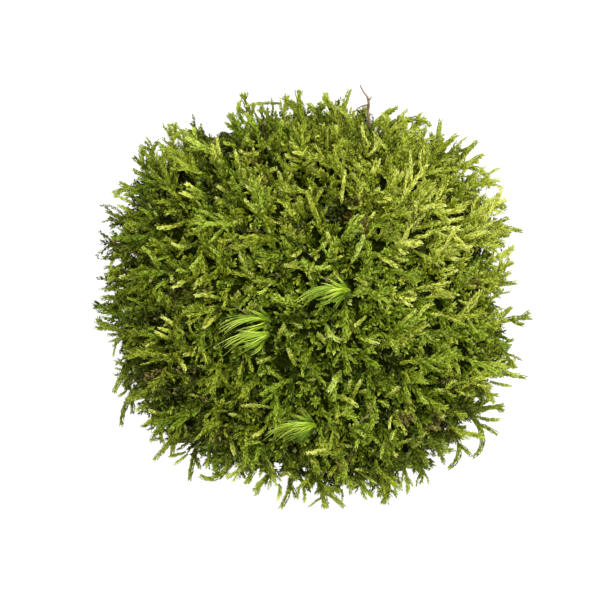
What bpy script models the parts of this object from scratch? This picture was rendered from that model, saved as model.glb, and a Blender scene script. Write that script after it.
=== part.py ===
"""A round clump of feather moss, cut flat at its base.

The clump is a low cushion of tangled shoots. Single fronds stand out of it, mostly around
the rim. Three tufts of a second moss with long hair-like leaves, a dry stem and a few dry
stalks are caught in its top. Metres, +Z up, with the cut base on the floor.
"""
import math
import random
from dataclasses import dataclass

import bmesh
import bpy
from mathutils import Matrix, Vector

MM = 0.001

# Cushion: a bun that is widest a little above the floor.
CUSHION_RADIUS = 51.5 * MM
WIDEST_HEIGHT = 14 * MM
DOME_RISE = 26 * MM
SKIRT_DROP = 24 * MM
BUN_POWER = 2.5
# The outline's departure from a circle: waves around it, share of the radius, degrees.
OUTLINE_WAVES = (
    (1, 0.015, -130.0),
    (2, 0.022, -21.8),
    (3, 0.014, -56.7),
    (4, 0.025, 40.1),
    (6, 0.011, -25.0),
)
# The skin's low lumps: their height, the length of one radian of their waves, the phases
# of the two level waves, and the slant and the share of the upright one.
LUMP_HEIGHT = 0.9 * MM
LUMP_LENGTH = 5.5 * MM
LUMP_PHASES = (1.3, 0.4)
LUMP_SLANT = 0.7
UPRIGHT_SHARE = 0.6
SKIN_JOG = 0.02

# Small shoots fused to the cushion.
SHOOT_COUNT = 134
SHOOT_WIDTH = 3.3 * MM
SHOOT_LENGTH = (7.0 * MM, 10.0 * MM)
SHOOT_CLEARANCE = 2.8 * MM
POINT_SPACING = 2 * MM
SHOOT_FLOOR_GAP = 4 * MM
SHOOT_TIP_GAP = 2 * MM
SHOOT_LEAN = 0.6
SHOOT_SWAY = 0.35
SHOOT_BEND = 0.55
OUTWARD_BEND = 0.25
# The turn and the share of the length of each section of a shoot, and how it narrows.
SHOOT_SECTIONS = ((0.0, 0.36), (0.5, 0.36), (1.2, 0.28))
SHOOT_NARROWING = (0.8, 0.66, 0.36)
SEED = 41

# Fronds, and the height over which one is bright.
BRIGHT_HEIGHT = 30
FROND_RADIUS = 0.95 * MM
BRANCH_RADIUS = 0.75 * MM
TIP_SHARE = 0.32
TAPER_POWER = 1.6
RISE_POWER = 2
FEWEST_SECTIONS = 3
TURN_PER_SECTION = 40.0
BRANCH_ANGLE = 42.0
BRANCH_BEND = 18.0
# A branch's length as a share of its stem's: this much, less for each share of the way up.
BRANCH_REACH = 0.525
BRANCH_SHORTENING = 0.42
BRANCH_LIFT = 0.3 * MM
FIRST_BRANCH = 0.46
LAST_BRANCH = 0.84
SOCKET_GAP = 0.35 * MM

# Tufts of the second moss: a short leaning stub, and leaves by turns low and high.
LEAF_RADIUS = 0.42 * MM
TUFT_LEAVES = 7
STUB_DEPTH = 3.5 * MM
STUB_LEAN = 1.2 * MM
STUB_TOP = 1.5 * MM
STUB_RADII = (1.3 * MM, 1.1 * MM)
LEAF_START = 0.9 * MM
LEAF_LIFTS = (2.2 * MM, 3.8 * MM)
LEAF_SWEEP = 14.0
TIP_LIFT = 0.8
OUTER_LEAF_LOSS = 0.35

# The centre of the clump's bounding box, measured from the cushion's own axis.
BOX_CENTRE = Vector((-0.166, -0.684, 0.0)) * MM


@dataclass(frozen=True)
class Frond:
    """One shoot, given by where its tip stands in plan and how it gets there.

    bearing and lean are in degrees, anticlockwise from above, and lean is the heading at
    the root against the bearing. turn is what the heading gains by the tip. Lengths are
    in millimetres: reach is the tip's distance from the axis, height its height, length
    the plan length and rise the tip's height over the root. A high hook bends only near
    the tip. first_side is 1 where the first branch leaves to the left, -1 to the right.
    """

    name: str
    bearing: float
    reach: float
    height: float
    length: float
    lean: float = 0.0
    turn: float = 0.0
    rise: float = 3.0
    branches: int = 2
    hook: float = 1.4
    first_side: int = 1


FRONDS = (
    Frond("frond_east_bright", 25.6, 58.7, 24, 13, -8, 0, 4, 2),
    Frond("frond_east_long", 17.5, 60.6, 13, 15, -29, 0, 3, 1),
    Frond("frond_northeast_hook", 31.5, 57.0, 17, 19, -16, -128, 3, 1, 2.8),
    Frond("frond_northeast_long", 43.2, 62.3, 19, 15, 2, 0, 4, 1),
    Frond("frond_northeast_short", 48.0, 59.4, 24, 11.5, -8, 0, 4, 1),
    Frond("frond_northeast_upright", 53.7, 60.1, 15, 13, 28, 0, 3, 1),
    Frond("frond_north_arch", 55.4, 56.9, 25, 16, 42, -150, 6, 0),
    Frond("frond_north_thick", 79.4, 57.7, 16, 13, -2, -8, 3, 1),
    Frond("frond_north_small", 94.0, 56.5, 20, 11, 3, 10, 3, 2),
    Frond("frond_north_left", 109.0, 58.9, 15, 12.5, -4, 12, 3, 2),
    Frond("frond_northwest_hook", 127.9, 57.4, 22, 15, -12, -95, 4, 1, 2.2),
    Frond("frond_northwest_crook", 134.4, 59.9, 14, 17, -8, -90, 3, 1, 2.6),
    Frond("frond_northwest_leafy", 139.0, 61.7, 21, 15, -4, -46, 4, 4),
    Frond("frond_west_fan", 152.1, 61.3, 15, 13, 10, 40, 3, 3),
    Frond("frond_west_level", 182.6, 59.7, 14, 12, 2, 0, 2, 2),
    Frond("frond_southwest_bent", 205.7, 59.6, 22, 12, 10, 35, 3, 1),
    Frond("frond_southwest_long", 214.0, 63.0, 13, 17, 8, 45, 3, 1),
    Frond("frond_southwest_spike", 226.1, 62.0, 21, 15, 2, 0, 4, 1),
    Frond("frond_south_stub", 236.4, 60.3, 14, 13, 15, 12, 3, 1),
    Frond("frond_south_arch", 238.2, 57.3, 25, 16, 60, -155, 6, 0),
    Frond("frond_south_thick", 261.9, 58.5, 16, 13, 10, -35, 3, 1),
    Frond("frond_south_star", 274.5, 58.1, 11, 12, 12, 0, 2, 2),
    Frond("frond_south_lean", 278.9, 58.2, 21, 14, 36, 0, 3, 1),
    Frond("frond_south_fan", 290.2, 60.3, 15, 11, -5, 0, 3, 4),
    Frond("frond_southeast_hook", 308.9, 60.0, 21, 14, 10, -110, 4, 1),
    Frond("frond_southeast_crook", 315.3, 62.6, 13, 19, 2, -112, 3, 1, 2.4),
    Frond("frond_east_low", 330.6, 60.5, 16, 14, 19, 25, 3, 2),
    Frond("frond_east_spike", 339.4, 62.9, 14, 15, 9, 0, 2, 1),
    Frond("frond_east_fork", 354.5, 60.4, 20, 16, 35, -35, 4, 3),
    Frond("frond_east_side", 4.0, 56.6, 12, 11, 0, 0, 2, 1),
    Frond("frond_east_tree", 11.0, 54.9, 24, 14, 29, 25, 4, 4),
    Frond("frond_top_right", 42.5, 45.0, 36.5, 9.5, -10, 10, 5, 1),
    Frond("frond_top_long", 29.7, 47.2, 35.0, 14, -32, 8, 4, 2, 1.4, -1),
    Frond("frond_top_middle", 147.7, 24.1, 45.0, 12, 42, 15, 8.5, 2),
    Frond("frond_left_bright", 198.4, 51.7, 31.0, 10, 6, 0, 4, 2),
    Frond("frond_left_upper", 160.3, 46.0, 35.0, 9, -22, 0, 5, 1),
)


@dataclass(frozen=True)
class Tuft:
    """A tuft of long thin leaves: base in plan, millimetres, and where its leaves point."""

    name: str
    base: tuple
    heading: float
    spread: float
    length: float


TUFTS = (
    Tuft("fork_moss_main", (-11.6, -6.5), 196.0, 44.0, 14.0),
    Tuft("fork_moss_lower", (0.7, -34.9), 190.0, 36.0, 13.5),
    Tuft("fork_moss_middle", (9.9, 1.3), 192.0, 36.0, 13.5),
)

# The dry stem, its short bud and its long hanging twig by their points, in millimetres and
# from the buried or joined end.
STEM = (
    (16.0, 46.2, 21.5),
    (15.5, 50.8, 24.5),
    (15.7, 52.8, 26.2),
    (15.3, 54.4, 27.4),
    (14.1, 55.9, 28.2),
    (13.3, 57.5, 29.0),
)
STEM_TWIGS = (
    ((15.6, 53.1, 26.5), (16.0, 53.9, 27.0), (16.6, 54.5, 27.6)),
    ((15.6, 52.3, 25.8), (14.3, 52.1, 26.2), (12.8, 51.5, 25.8), (11.8, 50.4, 24.4)),
)
STEM_RADIUS = 0.42 * MM
TWIG_RADIUS = 0.25 * MM
# Each dry stalk by its foot in plan, its heading and its plan length, in millimetres.
STALKS = (
    ("dry_stalk_middle", (2.1, 5.8), -32.0, 3.6),
    ("dry_stalk_left", (-21.5, -1.6), -36.0, 4.5),
    ("dry_stalk_lower", (11.5, -35.2), 41.0, 6.0),
)
STALK_RADIUS = 0.28 * MM
STALK_DEPTH = 1.8 * MM
STALK_RISE = 4.8 * MM

# The colours, how rough each kind of piece is, and the angle over which an edge is crisp.
GREEN = (0.16, 0.21, 0.035)
BRIGHT_GREEN = (0.25, 0.32, 0.05)
HAIR_GREEN = (0.22, 0.40, 0.03)
DRY_BROWN = (0.25, 0.19, 0.11)
DRY_STRAW = (0.40, 0.33, 0.20)
CUSHION_ROUGHNESS = 0.85
FROND_ROUGHNESS = 0.75
HAIR_ROUGHNESS = 0.5
DRY_ROUGHNESS = 0.75
CRISP_ANGLE = 50.0
# Points nearer to each other than this are welded.
WELD = 0.01 * MM


def polar(bearing, radius, height=0.0):
    """The point at a bearing in degrees, a distance from the axis and a height."""
    angle = math.radians(bearing)
    return Vector((radius * math.cos(angle), radius * math.sin(angle), height))


def millimetres(points):
    """Points given in millimetres, as vectors in metres."""
    return [Vector(point) * MM for point in points]


def outline(bearing):
    """The cushion's plan radius at a bearing in degrees."""
    waves = 0.0
    for count, share, phase in OUTLINE_WAVES:
        waves += share * math.cos(math.radians(count * (bearing - phase)))
    return CUSHION_RADIUS * (1.0 + waves)


def dome_height(x, y):
    """The height of the bun's upper side, without its lumps, over a plan point."""
    ratio = math.hypot(x, y) / outline(math.degrees(math.atan2(y, x)))
    return WIDEST_HEIGHT + DOME_RISE * (1.0 - min(ratio, 1.0) ** BUN_POWER) ** (1.0 / BUN_POWER)


def lump(point):
    """How far the skin stands out at a point of the bun: waves along all three axes."""
    wave = point / LUMP_LENGTH
    level = math.sin(wave.x + LUMP_PHASES[0]) * math.sin(wave.y + LUMP_PHASES[1])
    upright = math.sin(wave.z + LUMP_SLANT * wave.x)
    return LUMP_HEIGHT * (level + UPRIGHT_SHARE * upright)


def bun_point(direction):
    """Where a ray from the middle of the bun's widest level leaves its skin."""
    flat = math.hypot(direction.x, direction.y)
    radius = outline(math.degrees(math.atan2(direction.y, direction.x)))
    rise = DOME_RISE if direction.z > 0 else SKIRT_DROP
    across = (flat / radius) ** BUN_POWER + (abs(direction.z) / rise) ** BUN_POWER
    distance = across ** (-1.0 / BUN_POWER)
    point = direction * distance
    point += direction * lump(point)
    return point + Vector((0.0, 0.0, WIDEST_HEIGHT))


def frond_path(frond):
    """The points of a frond's stem, from the buried root to the tip."""
    steps = max(FEWEST_SECTIONS, 2 + math.ceil(abs(frond.turn) / TURN_PER_SECTION))
    stride = frond.length * MM / steps
    plan = [Vector((0.0, 0.0, 0.0))]
    for step in range(steps):
        share = (step + 0.5) / steps
        heading = frond.bearing + frond.lean + frond.turn * share ** frond.hook
        plan.append(plan[-1] + polar(heading, stride))
    shift = polar(frond.bearing, frond.reach * MM) - plan[-1]
    path = []
    for step, point in enumerate(plan):
        share = step / steps
        height = frond.height - frond.rise * (1.0 - share) ** RISE_POWER
        path.append(point + shift + Vector((0.0, 0.0, height * MM)))
    return path


def branch_paths(frond, stem):
    """The points of each side branch, which leave the stem by turns to left and right."""
    paths = []
    for number in range(frond.branches):
        share = FIRST_BRANCH + (LAST_BRANCH - FIRST_BRANCH) * number / max(frond.branches - 1, 1)
        place = share * (len(stem) - 1)
        before = int(place)
        start = stem[before].lerp(stem[before + 1], place - before)
        forward = (stem[before + 1] - stem[before]).normalized()
        side = frond.first_side if number % 2 == 0 else -frond.first_side
        turned = Matrix.Rotation(math.radians(side * BRANCH_ANGLE), 3, "Z") @ forward
        length = frond.length * MM * (BRANCH_REACH - BRANCH_SHORTENING * share)
        bent = Matrix.Rotation(math.radians(-side * BRANCH_BEND), 3, "Z") @ turned
        middle = start + turned * length * 0.5 + Vector((0.0, 0.0, BRANCH_LIFT))
        paths.append([start, middle, middle + bent * length * 0.5])
    return paths


def taper(radius, count):
    """Radii from a rounded root to a narrow tip."""
    shares = [(index / (count - 1)) ** TAPER_POWER for index in range(count)]
    return [radius * (1.0 - (1.0 - TIP_SHARE) * share) for share in shares]


class Build:
    """The collections that hold the parts and the cutters, and the tools that fill them."""

    def __init__(self):
        self.parts = self.collection("moss_clump")
        self.cutters = self.collection("sockets")

    @staticmethod
    def collection(name):
        """A new collection in the scene."""
        made = bpy.data.collections.new(name)
        bpy.context.scene.collection.children.link(made)
        return made

    def tube(self, name, path, radii):
        """A closed four-sided mesh tube through the points, with a radius at each."""
        curve = bpy.data.curves.new(name, "CURVE")
        curve.dimensions = "3D"
        curve.bevel_depth = MM
        curve.bevel_resolution = 0
        curve.use_fill_caps = True
        curve.twist_mode = "MINIMUM"
        spline = curve.splines.new("POLY")
        spline.points.add(len(path) - 1)
        for point, place, radius in zip(spline.points, path, radii):
            point.co = (*place, 1.0)
            point.radius = radius / MM
        guide = bpy.data.objects.new(name + "_guide", curve)
        self.parts.objects.link(guide)
        mesh = self.evaluated_mesh(guide, name)
        bpy.data.objects.remove(guide)
        cleaned = bmesh.new()
        cleaned.from_mesh(mesh)
        bmesh.ops.remove_doubles(cleaned, verts=cleaned.verts, dist=WELD)
        bmesh.ops.recalc_face_normals(cleaned, faces=cleaned.faces)
        cleaned.to_mesh(mesh)
        cleaned.free()
        made = bpy.data.objects.new(name, mesh)
        self.parts.objects.link(made)
        return made

    @staticmethod
    def evaluated_mesh(source, name):
        """The mesh of an object with its modifiers."""
        graph = bpy.context.evaluated_depsgraph_get()
        mesh = bpy.data.meshes.new_from_object(source.evaluated_get(graph))
        mesh.name = name
        return mesh

    def joined(self, name, pieces):
        """One solid out of overlapping pieces."""
        first = pieces[0]
        for piece in pieces[1:]:
            modifier = first.modifiers.new(piece.name, "BOOLEAN")
            modifier.operation = "UNION"
            modifier.solver = "EXACT"
            modifier.object = piece
        mesh = self.evaluated_mesh(first, name)
        for piece in pieces:
            bpy.data.objects.remove(piece)
        made = bpy.data.objects.new(name, mesh)
        self.parts.objects.link(made)
        return made

    def socket(self, name, path, radii):
        """A cutter along a buried stem, wider by the gap, that starts before it."""
        lead = (path[0] - path[1]).normalized() * SOCKET_GAP
        widened = [radius + SOCKET_GAP for radius in radii]
        cutter = self.tube(name, [path[0] + lead] + list(path[1:]), widened)
        self.parts.objects.unlink(cutter)
        self.cutters.objects.link(cutter)
        cutter.hide_render = True
        cutter.display_type = "WIRE"


def finish(piece, colour, roughness):
    """Give a piece its own material and smooth shading with crisp edges."""
    material = bpy.data.materials.new(piece.name)
    material.use_nodes = True
    shader = material.node_tree.nodes["Principled BSDF"]
    shader.inputs["Base Color"].default_value = (*colour, 1.0)
    shader.inputs["Roughness"].default_value = roughness
    shader.inputs["Metallic"].default_value = 0.0
    material.diffuse_color = (*colour, 1.0)
    piece.data.materials.clear()
    piece.data.materials.append(material)
    piece.data.shade_smooth()
    piece.data.set_sharp_from_angle(angle=math.radians(CRISP_ANGLE))


def make_frond(build, frond, taken):
    """A frond with its branches, and the socket that it stands in."""
    stem = frond_path(frond)
    radii = taper(FROND_RADIUS, len(stem))
    pieces = [build.tube(frond.name + "_stem", stem, radii)]
    paths = branch_paths(frond, stem)
    for number, path in enumerate(paths):
        pieces.append(build.tube(f"{frond.name}_branch_{number}", path, taper(BRANCH_RADIUS, len(path))))
    piece = build.joined(frond.name, pieces)
    finish(piece, GREEN if frond.height < BRIGHT_HEIGHT else BRIGHT_GREEN, FROND_ROUGHNESS)
    build.socket(frond.name + "_socket", stem, radii)
    for path in [stem] + paths:
        taken.extend(along(path))
    return piece


def make_tuft(build, tuft, taken):
    """A tuft: a short stub in a socket, and long leaves that arch out of it to one side."""
    x, y = tuft.base[0] * MM, tuft.base[1] * MM
    top = Vector((x, y, dome_height(x, y) + STUB_TOP))
    stub = [top - polar(tuft.heading, STUB_LEAN, STUB_DEPTH), top]
    pieces = [build.tube(tuft.name + "_stub", stub, STUB_RADII)]
    start = top - Vector((0.0, 0.0, LEAF_START))
    for number in range(TUFT_LEAVES):
        share = number / (TUFT_LEAVES - 1) - 0.5
        heading = tuft.heading + share * tuft.spread
        length = tuft.length * MM * (1.0 - OUTER_LEAF_LOSS * abs(share))
        lift = LEAF_LIFTS[number % 2]
        path = [start, start + polar(heading, length * 0.5, lift)]
        path.append(start + polar(heading + share * LEAF_SWEEP, length, lift * TIP_LIFT))
        pieces.append(build.tube(f"{tuft.name}_leaf_{number}", path, taper(LEAF_RADIUS, len(path))))
        taken.extend(along(path))
    piece = build.joined(tuft.name, pieces)
    finish(piece, HAIR_GREEN, HAIR_ROUGHNESS)
    build.socket(tuft.name + "_socket", stub, STUB_RADII)
    return piece


def make_stem(build, taken):
    """The dry stem with its two twigs."""
    path = millimetres(STEM)
    radii = taper(STEM_RADIUS, len(path))
    pieces = [build.tube("dry_stem_main", path, radii)]
    twigs = [millimetres(twig) for twig in STEM_TWIGS]
    for number, line in enumerate(twigs):
        pieces.append(build.tube(f"dry_stem_twig_{number}", line, taper(TWIG_RADIUS, len(line))))
    piece = build.joined("dry_stem", pieces)
    finish(piece, DRY_BROWN, DRY_ROUGHNESS)
    build.socket("dry_stem_socket", path, radii)
    for line in [path] + twigs:
        taken.extend(along(line))
    return piece


def make_stalk(build, name, base, heading, length, taken):
    """A short dry stalk that leans out of the top."""
    x, y = base[0] * MM, base[1] * MM
    foot = Vector((x, y, dome_height(x, y) - STALK_DEPTH))
    tip = foot + polar(heading, length * MM, STALK_RISE)
    path = [foot, foot.lerp(tip, 0.5), tip]
    radii = taper(STALK_RADIUS, len(path))
    piece = build.tube(name, path, radii)
    finish(piece, DRY_STRAW, DRY_ROUGHNESS)
    build.socket(name + "_socket", path, radii)
    taken.extend(along(path))
    return piece


def along(path):
    """Points along a path, close enough together that a shoot can't pass between them."""
    points = [path[0]]
    for start, end in zip(path, path[1:]):
        count = math.ceil((end - start).length / POINT_SPACING)
        points += [start.lerp(end, (step + 1) / count) for step in range(count)]
    return points


def clear_of(points, taken, gap):
    """Whether every point keeps the gap to every taken one."""
    return all((point - other).length > gap for point in points for other in taken)


def grow_shoot(form, face, steps):
    """Draw one face out into a curved shoot along the steps, narrower after each."""
    side = math.sqrt(4.0 / math.sqrt(3.0) * face.calc_area())
    margin = (side - SHOOT_WIDTH) / (2.0 * math.sqrt(3.0))
    bmesh.ops.inset_individual(form, faces=[face], thickness=margin, use_even_offset=True)
    for step, narrow in zip(steps, SHOOT_NARROWING):
        face = bmesh.ops.extrude_discrete_faces(form, faces=[face])["faces"][0]
        centre = face.calc_center_median() + step
        for vertex in face.verts:
            vertex.co = centre + (vertex.co + step - centre) * narrow


def shoot_steps(face, source):
    """The steps of one shoot, which leans outwards and bends as it grows."""
    centre = face.calc_center_median()
    outward = Vector((centre.x, centre.y, 0.0)) / CUSHION_RADIUS
    sway = Vector([source.uniform(-SHOOT_SWAY, SHOOT_SWAY) for _ in range(3)])
    direction = (face.normal + outward * SHOOT_LEAN + sway).normalized()
    bend = Vector([source.uniform(-SHOOT_BEND, SHOOT_BEND) for _ in range(3)])
    bend += outward * OUTWARD_BEND
    length = source.uniform(*SHOOT_LENGTH)
    return [(direction + bend * turn).normalized() * length * share for turn, share in SHOOT_SECTIONS]


def make_cushion(build, taken):
    """The cushion with its fused shoots, cut flat at the floor and bored for the stems."""
    source = random.Random(SEED)
    form = bmesh.new()
    bmesh.ops.create_icosphere(form, subdivisions=4, radius=1.0)
    for vertex in form.verts:
        jog = Vector([source.uniform(-SKIN_JOG, SKIN_JOG) for _ in range(3)])
        vertex.co = bun_point((vertex.co.normalized() + jog).normalized())
    form.normal_update()
    faces = [face for face in form.faces if face.calc_center_median().z > SHOOT_FLOOR_GAP]
    source.shuffle(faces)
    grown = list(taken)
    chosen = 0
    for face in faces:
        if chosen == SHOOT_COUNT:
            break
        centre = face.calc_center_median()
        steps = shoot_steps(face, source)
        line = [centre]
        for step in steps:
            line.append(line[-1] + step)
        if line[-1].z < SHOOT_TIP_GAP or not clear_of(line, grown, SHOOT_CLEARANCE):
            continue
        grow_shoot(form, face, steps)
        grown.extend(along(line))
        chosen += 1
    everything = list(form.verts) + list(form.edges) + list(form.faces)
    bmesh.ops.bisect_plane(form, geom=everything, plane_co=(0, 0, 0), plane_no=(0, 0, 1), clear_inner=True)
    bmesh.ops.holes_fill(form, edges=form.edges)
    bmesh.ops.triangulate(form, faces=form.faces)
    mesh = bpy.data.meshes.new("moss_cushion_blank")
    form.to_mesh(mesh)
    form.free()
    blank = bpy.data.objects.new("moss_cushion_blank", mesh)
    build.parts.objects.link(blank)
    cut = blank.modifiers.new("sockets", "BOOLEAN")
    cut.operation = "DIFFERENCE"
    cut.solver = "EXACT"
    cut.operand_type = "COLLECTION"
    cut.collection = build.cutters
    bored = build.evaluated_mesh(blank, "moss_cushion")
    bpy.data.objects.remove(blank)
    cushion = bpy.data.objects.new("moss_cushion", bored)
    build.parts.objects.link(cushion)
    finish(cushion, GREEN, CUSHION_ROUGHNESS)
    return cushion


def main():
    """Build every piece and set the clump's box centre on the origin."""
    for item in list(bpy.data.objects):
        bpy.data.objects.remove(item)
    build = Build()
    taken = []
    pieces = [make_frond(build, frond, taken) for frond in FRONDS]
    pieces += [make_tuft(build, tuft, taken) for tuft in TUFTS]
    pieces.append(make_stem(build, taken))
    pieces += [make_stalk(build, *stalk, taken) for stalk in STALKS]
    pieces.append(make_cushion(build, taken))
    for piece in pieces:
        piece.location = -BOX_CENTRE


main()
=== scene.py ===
"""A round clump of woodland moss, seen from straight above on a white floor.

The solids give the bun and the shoots at its rim. Here every shoot gets its leaves: thousands of
small shoots of feather moss on a dark mat, which is painted shade between the shoots and brown at
its cut, and three tufts of fork moss with hair-like leaves. The dry stem and the three dry stalks
keep their solids and get their finish. Lengths are in millimetres until a mesh is written in
metres, and angles are in degrees.
"""

from __future__ import annotations

import logging
import math
from dataclasses import dataclass, field, fields, replace
from enum import Enum

import bpy
import numpy as np
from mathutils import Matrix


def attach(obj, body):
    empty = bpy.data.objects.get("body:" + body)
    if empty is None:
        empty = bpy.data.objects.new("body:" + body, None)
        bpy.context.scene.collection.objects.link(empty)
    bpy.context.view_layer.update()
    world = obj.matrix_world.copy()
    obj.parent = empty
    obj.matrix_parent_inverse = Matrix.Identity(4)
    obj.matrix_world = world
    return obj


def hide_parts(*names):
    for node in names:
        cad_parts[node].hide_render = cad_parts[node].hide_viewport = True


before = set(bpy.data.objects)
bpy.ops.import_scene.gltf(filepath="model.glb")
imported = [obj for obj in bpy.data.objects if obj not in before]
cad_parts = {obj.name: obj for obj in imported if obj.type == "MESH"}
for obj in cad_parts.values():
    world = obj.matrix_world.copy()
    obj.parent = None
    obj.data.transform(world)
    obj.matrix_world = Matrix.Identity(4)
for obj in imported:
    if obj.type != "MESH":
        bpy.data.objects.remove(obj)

log = logging.getLogger("moss")

MM = 0.001
BODY = "root"
SEED = 8
UP = np.array((0.0, 0.0, 1.0))
TINY = 1e-9

# The photograph: its middle, the clump's middle and a pixel's width at the height of the rim.
IMAGE_WIDTH = 600
IMAGE_CENTRE = (300.0, 300.0)
PHOTO_CENTRE = (311.0, 297.0)
PIXEL = 0.275
PIXEL_STEP = np.array((PIXEL, -PIXEL))
RIM_HEIGHT = 14.0
CAMERA_DISTANCE = 1200.0
CAMERA_AXIS = (np.array(IMAGE_CENTRE) - PHOTO_CENTRE) * PIXEL_STEP
CLUMP_SHIFT = np.array((0.166, 0.684, 0.0))

# The leaf map: a leaf runs across one half of it from base to tip, and its tone sets its height.
LEAF_MAP = "OFBake"
MAP_MARGIN = 0.05
MAP_LEAF = 0.9
MAP_HALF_ROW = 0.003
MAP_TONES = (0.01, 0.99)

# The curve of screen colours.
SCREEN_LIFT = 0.055
SCREEN_POWER = 2.4


def unit(vectors: np.ndarray) -> np.ndarray:
    """Each vector divided by its length."""
    return vectors / np.maximum(np.linalg.norm(vectors, axis=-1, keepdims=True), TINY)


def square_to(vectors: np.ndarray, axes: np.ndarray) -> np.ndarray:
    """The part of each vector that is square to its unit axis, made a unit vector."""
    return unit(vectors - (vectors * axes).sum(-1, keepdims=True) * axes)


def turned(vectors: np.ndarray, axes: np.ndarray, degrees: np.ndarray) -> np.ndarray:
    """Turns vectors about unit axes: v cos + (a x v) sin + a (a.v)(1 - cos).

    Args:
        vectors: The vectors, their three numbers last.
        axes: One unit axis for each of them.
        degrees: One angle for each of them.

    Returns:
        The turned vectors.
    """
    angle = np.radians(degrees)[..., None]
    along = (axes * vectors).sum(-1, keepdims=True) * axes
    return vectors * np.cos(angle) + np.cross(axes, vectors) * np.sin(angle) + along * (1 - np.cos(angle))


def from_photo(pixel: np.ndarray, height: np.ndarray | float = RIM_HEIGHT) -> np.ndarray:
    """The places in millimetres that pixels of the photograph show.

    The pixel is taken to the clump's frame at the rim's height, and drawn towards the camera's axis
    by the share of the camera's distance that the place stands above the rim.

    Args:
        pixel: Columns and rows, their two numbers last.
        height: The height of each place.

    Returns:
        The places, with their height.
    """
    height = np.asarray(height)[..., None]
    flat = (pixel - np.array(PHOTO_CENTRE)) * PIXEL_STEP
    flat = CAMERA_AXIS + (flat - CAMERA_AXIS) * (1 - (height - RIM_HEIGHT) / CAMERA_DISTANCE)
    return np.concatenate([flat, np.broadcast_to(height, (*flat.shape[:-1], 1))], -1)


def to_photo(places: np.ndarray) -> np.ndarray:
    """The pixels of the photograph that places in millimetres fall on, the way back."""
    nearer = 1 - (places[..., 2:] - RIM_HEIGHT) / CAMERA_DISTANCE
    return (CAMERA_AXIS + (places[..., :2] - CAMERA_AXIS) / nearer) / PIXEL_STEP + PHOTO_CENTRE


def linear(colour: tuple[float, float, float]) -> tuple[float, float, float, float]:
    """A screen colour of 0 to 255 as the light it stands for, with full alpha."""
    shares = (np.array(colour) / 255 + SCREEN_LIFT) / (1 + SCREEN_LIFT)
    return (*(float(share) for share in shares**SCREEN_POWER), 1.0)


def numbered(counts: np.ndarray) -> tuple[np.ndarray, np.ndarray]:
    """For each thing on stems that carry these counts, its stem and its number on that stem."""
    stem = np.repeat(np.arange(len(counts)), counts)
    return stem, np.arange(len(stem)) - np.repeat(np.cumsum(counts) - counts, counts)


@dataclass
class Skin:
    """Triangles that aren't in a mesh yet.

    Attributes:
        points: The corners' places, each once.
        faces: The numbers of each triangle's three points.
        places: The place on the leaf map of each triangle's corners, one after another.
    """

    points: np.ndarray
    faces: np.ndarray
    places: np.ndarray

    @staticmethod
    def joined(skins: list[Skin]) -> Skin:
        """Puts skins together and numbers their faces on.

        Args:
            skins: The skins.

        Returns:
            All of them as one.
        """
        starts = np.cumsum([0] + [len(skin.points) for skin in skins[:-1]])
        return Skin(
            np.concatenate([skin.points for skin in skins]),
            np.concatenate([skin.faces + start for skin, start in zip(skins, starts)]),
            np.concatenate([skin.places for skin in skins]),
        )

    def made(self, name: str, material: bpy.types.Material) -> bpy.types.Object:
        """Puts the triangles into a mesh in metres, at its place in the clump.

        Args:
            name: The name of the piece.
            material: Its material.

        Returns:
            The new object, which rides on the clump's body.
        """
        mesh = bpy.data.meshes.new(name)
        mesh.vertices.add(len(self.points))
        mesh.vertices.foreach_set("co", ((self.points + CLUMP_SHIFT) * MM).astype(np.float32).ravel())
        mesh.loops.add(self.faces.size)
        mesh.loops.foreach_set("vertex_index", self.faces.astype(np.int32).ravel())
        mesh.polygons.add(len(self.faces))
        mesh.polygons.foreach_set("loop_start", np.arange(0, self.faces.size, 3, dtype=np.int32))
        mesh.polygons.foreach_set("use_smooth", np.zeros(len(self.faces), bool))
        mesh.uv_layers.new(name=LEAF_MAP).uv.foreach_set("vector", self.places.astype(np.float32).ravel())
        mesh.update(calc_edges=True)
        mesh.materials.append(material)
        piece = bpy.data.objects.new(name, mesh)
        bpy.context.scene.collection.objects.link(piece)
        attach(piece, BODY)
        log.info("%s: %d triangles", name, len(self.faces))
        return piece


@dataclass
class Axes:
    """Leafy stems, each a row of points from its root to its tip.

    Attributes:
        path: The points, as stems by points by three.
        upper: The side of each stem that turns to the light.
        leaf: The length of each stem's leaves.
        tone: How pale and fresh each stem is, from 0 to 1; a lower tone also stands for painted shade deep
            down, in gaps and at the sides.
        green: 1 for each stem of the greener family of colours, else 0.
    """

    path: np.ndarray
    upper: np.ndarray
    leaf: np.ndarray
    tone: np.ndarray
    green: np.ndarray

    def chosen(self, mask: np.ndarray) -> Axes:
        """The stems that the mask or the numbers pick."""
        return Axes(*(getattr(self, part.name)[mask] for part in fields(self)))

    def lengths(self) -> np.ndarray:
        """The length of each stem along its points."""
        return np.linalg.norm(np.diff(self.path, axis=1), axis=2).sum(1)

    def at(self, stem: np.ndarray, share: np.ndarray) -> tuple[np.ndarray, np.ndarray]:
        """Places on the stems, on straight lines between their points.

        The direction there is that of the step, at one and a half times its neighbours' weight.

        Args:
            stem: The number of the stem, for each place.
            share: How far along it the place is, from 0 to 1.

        Returns:
            The places and the directions that the stem has there.
        """
        own_weight = 1.5
        steps = self.path.shape[1] - 1
        step = np.clip((share * steps).astype(int), 0, steps - 1)
        low, high = self.path[stem, step], self.path[stem, step + 1]
        part = (share * steps - step)[:, None]
        before = self.path[stem, np.maximum(step - 1, 0)]
        after = self.path[stem, np.minimum(step + 2, steps)]
        direction = unit((low - before) * (1 - part) + (high - low) * own_weight + (after - high) * part)
        return low * (1 - part) + high * part, direction


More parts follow.
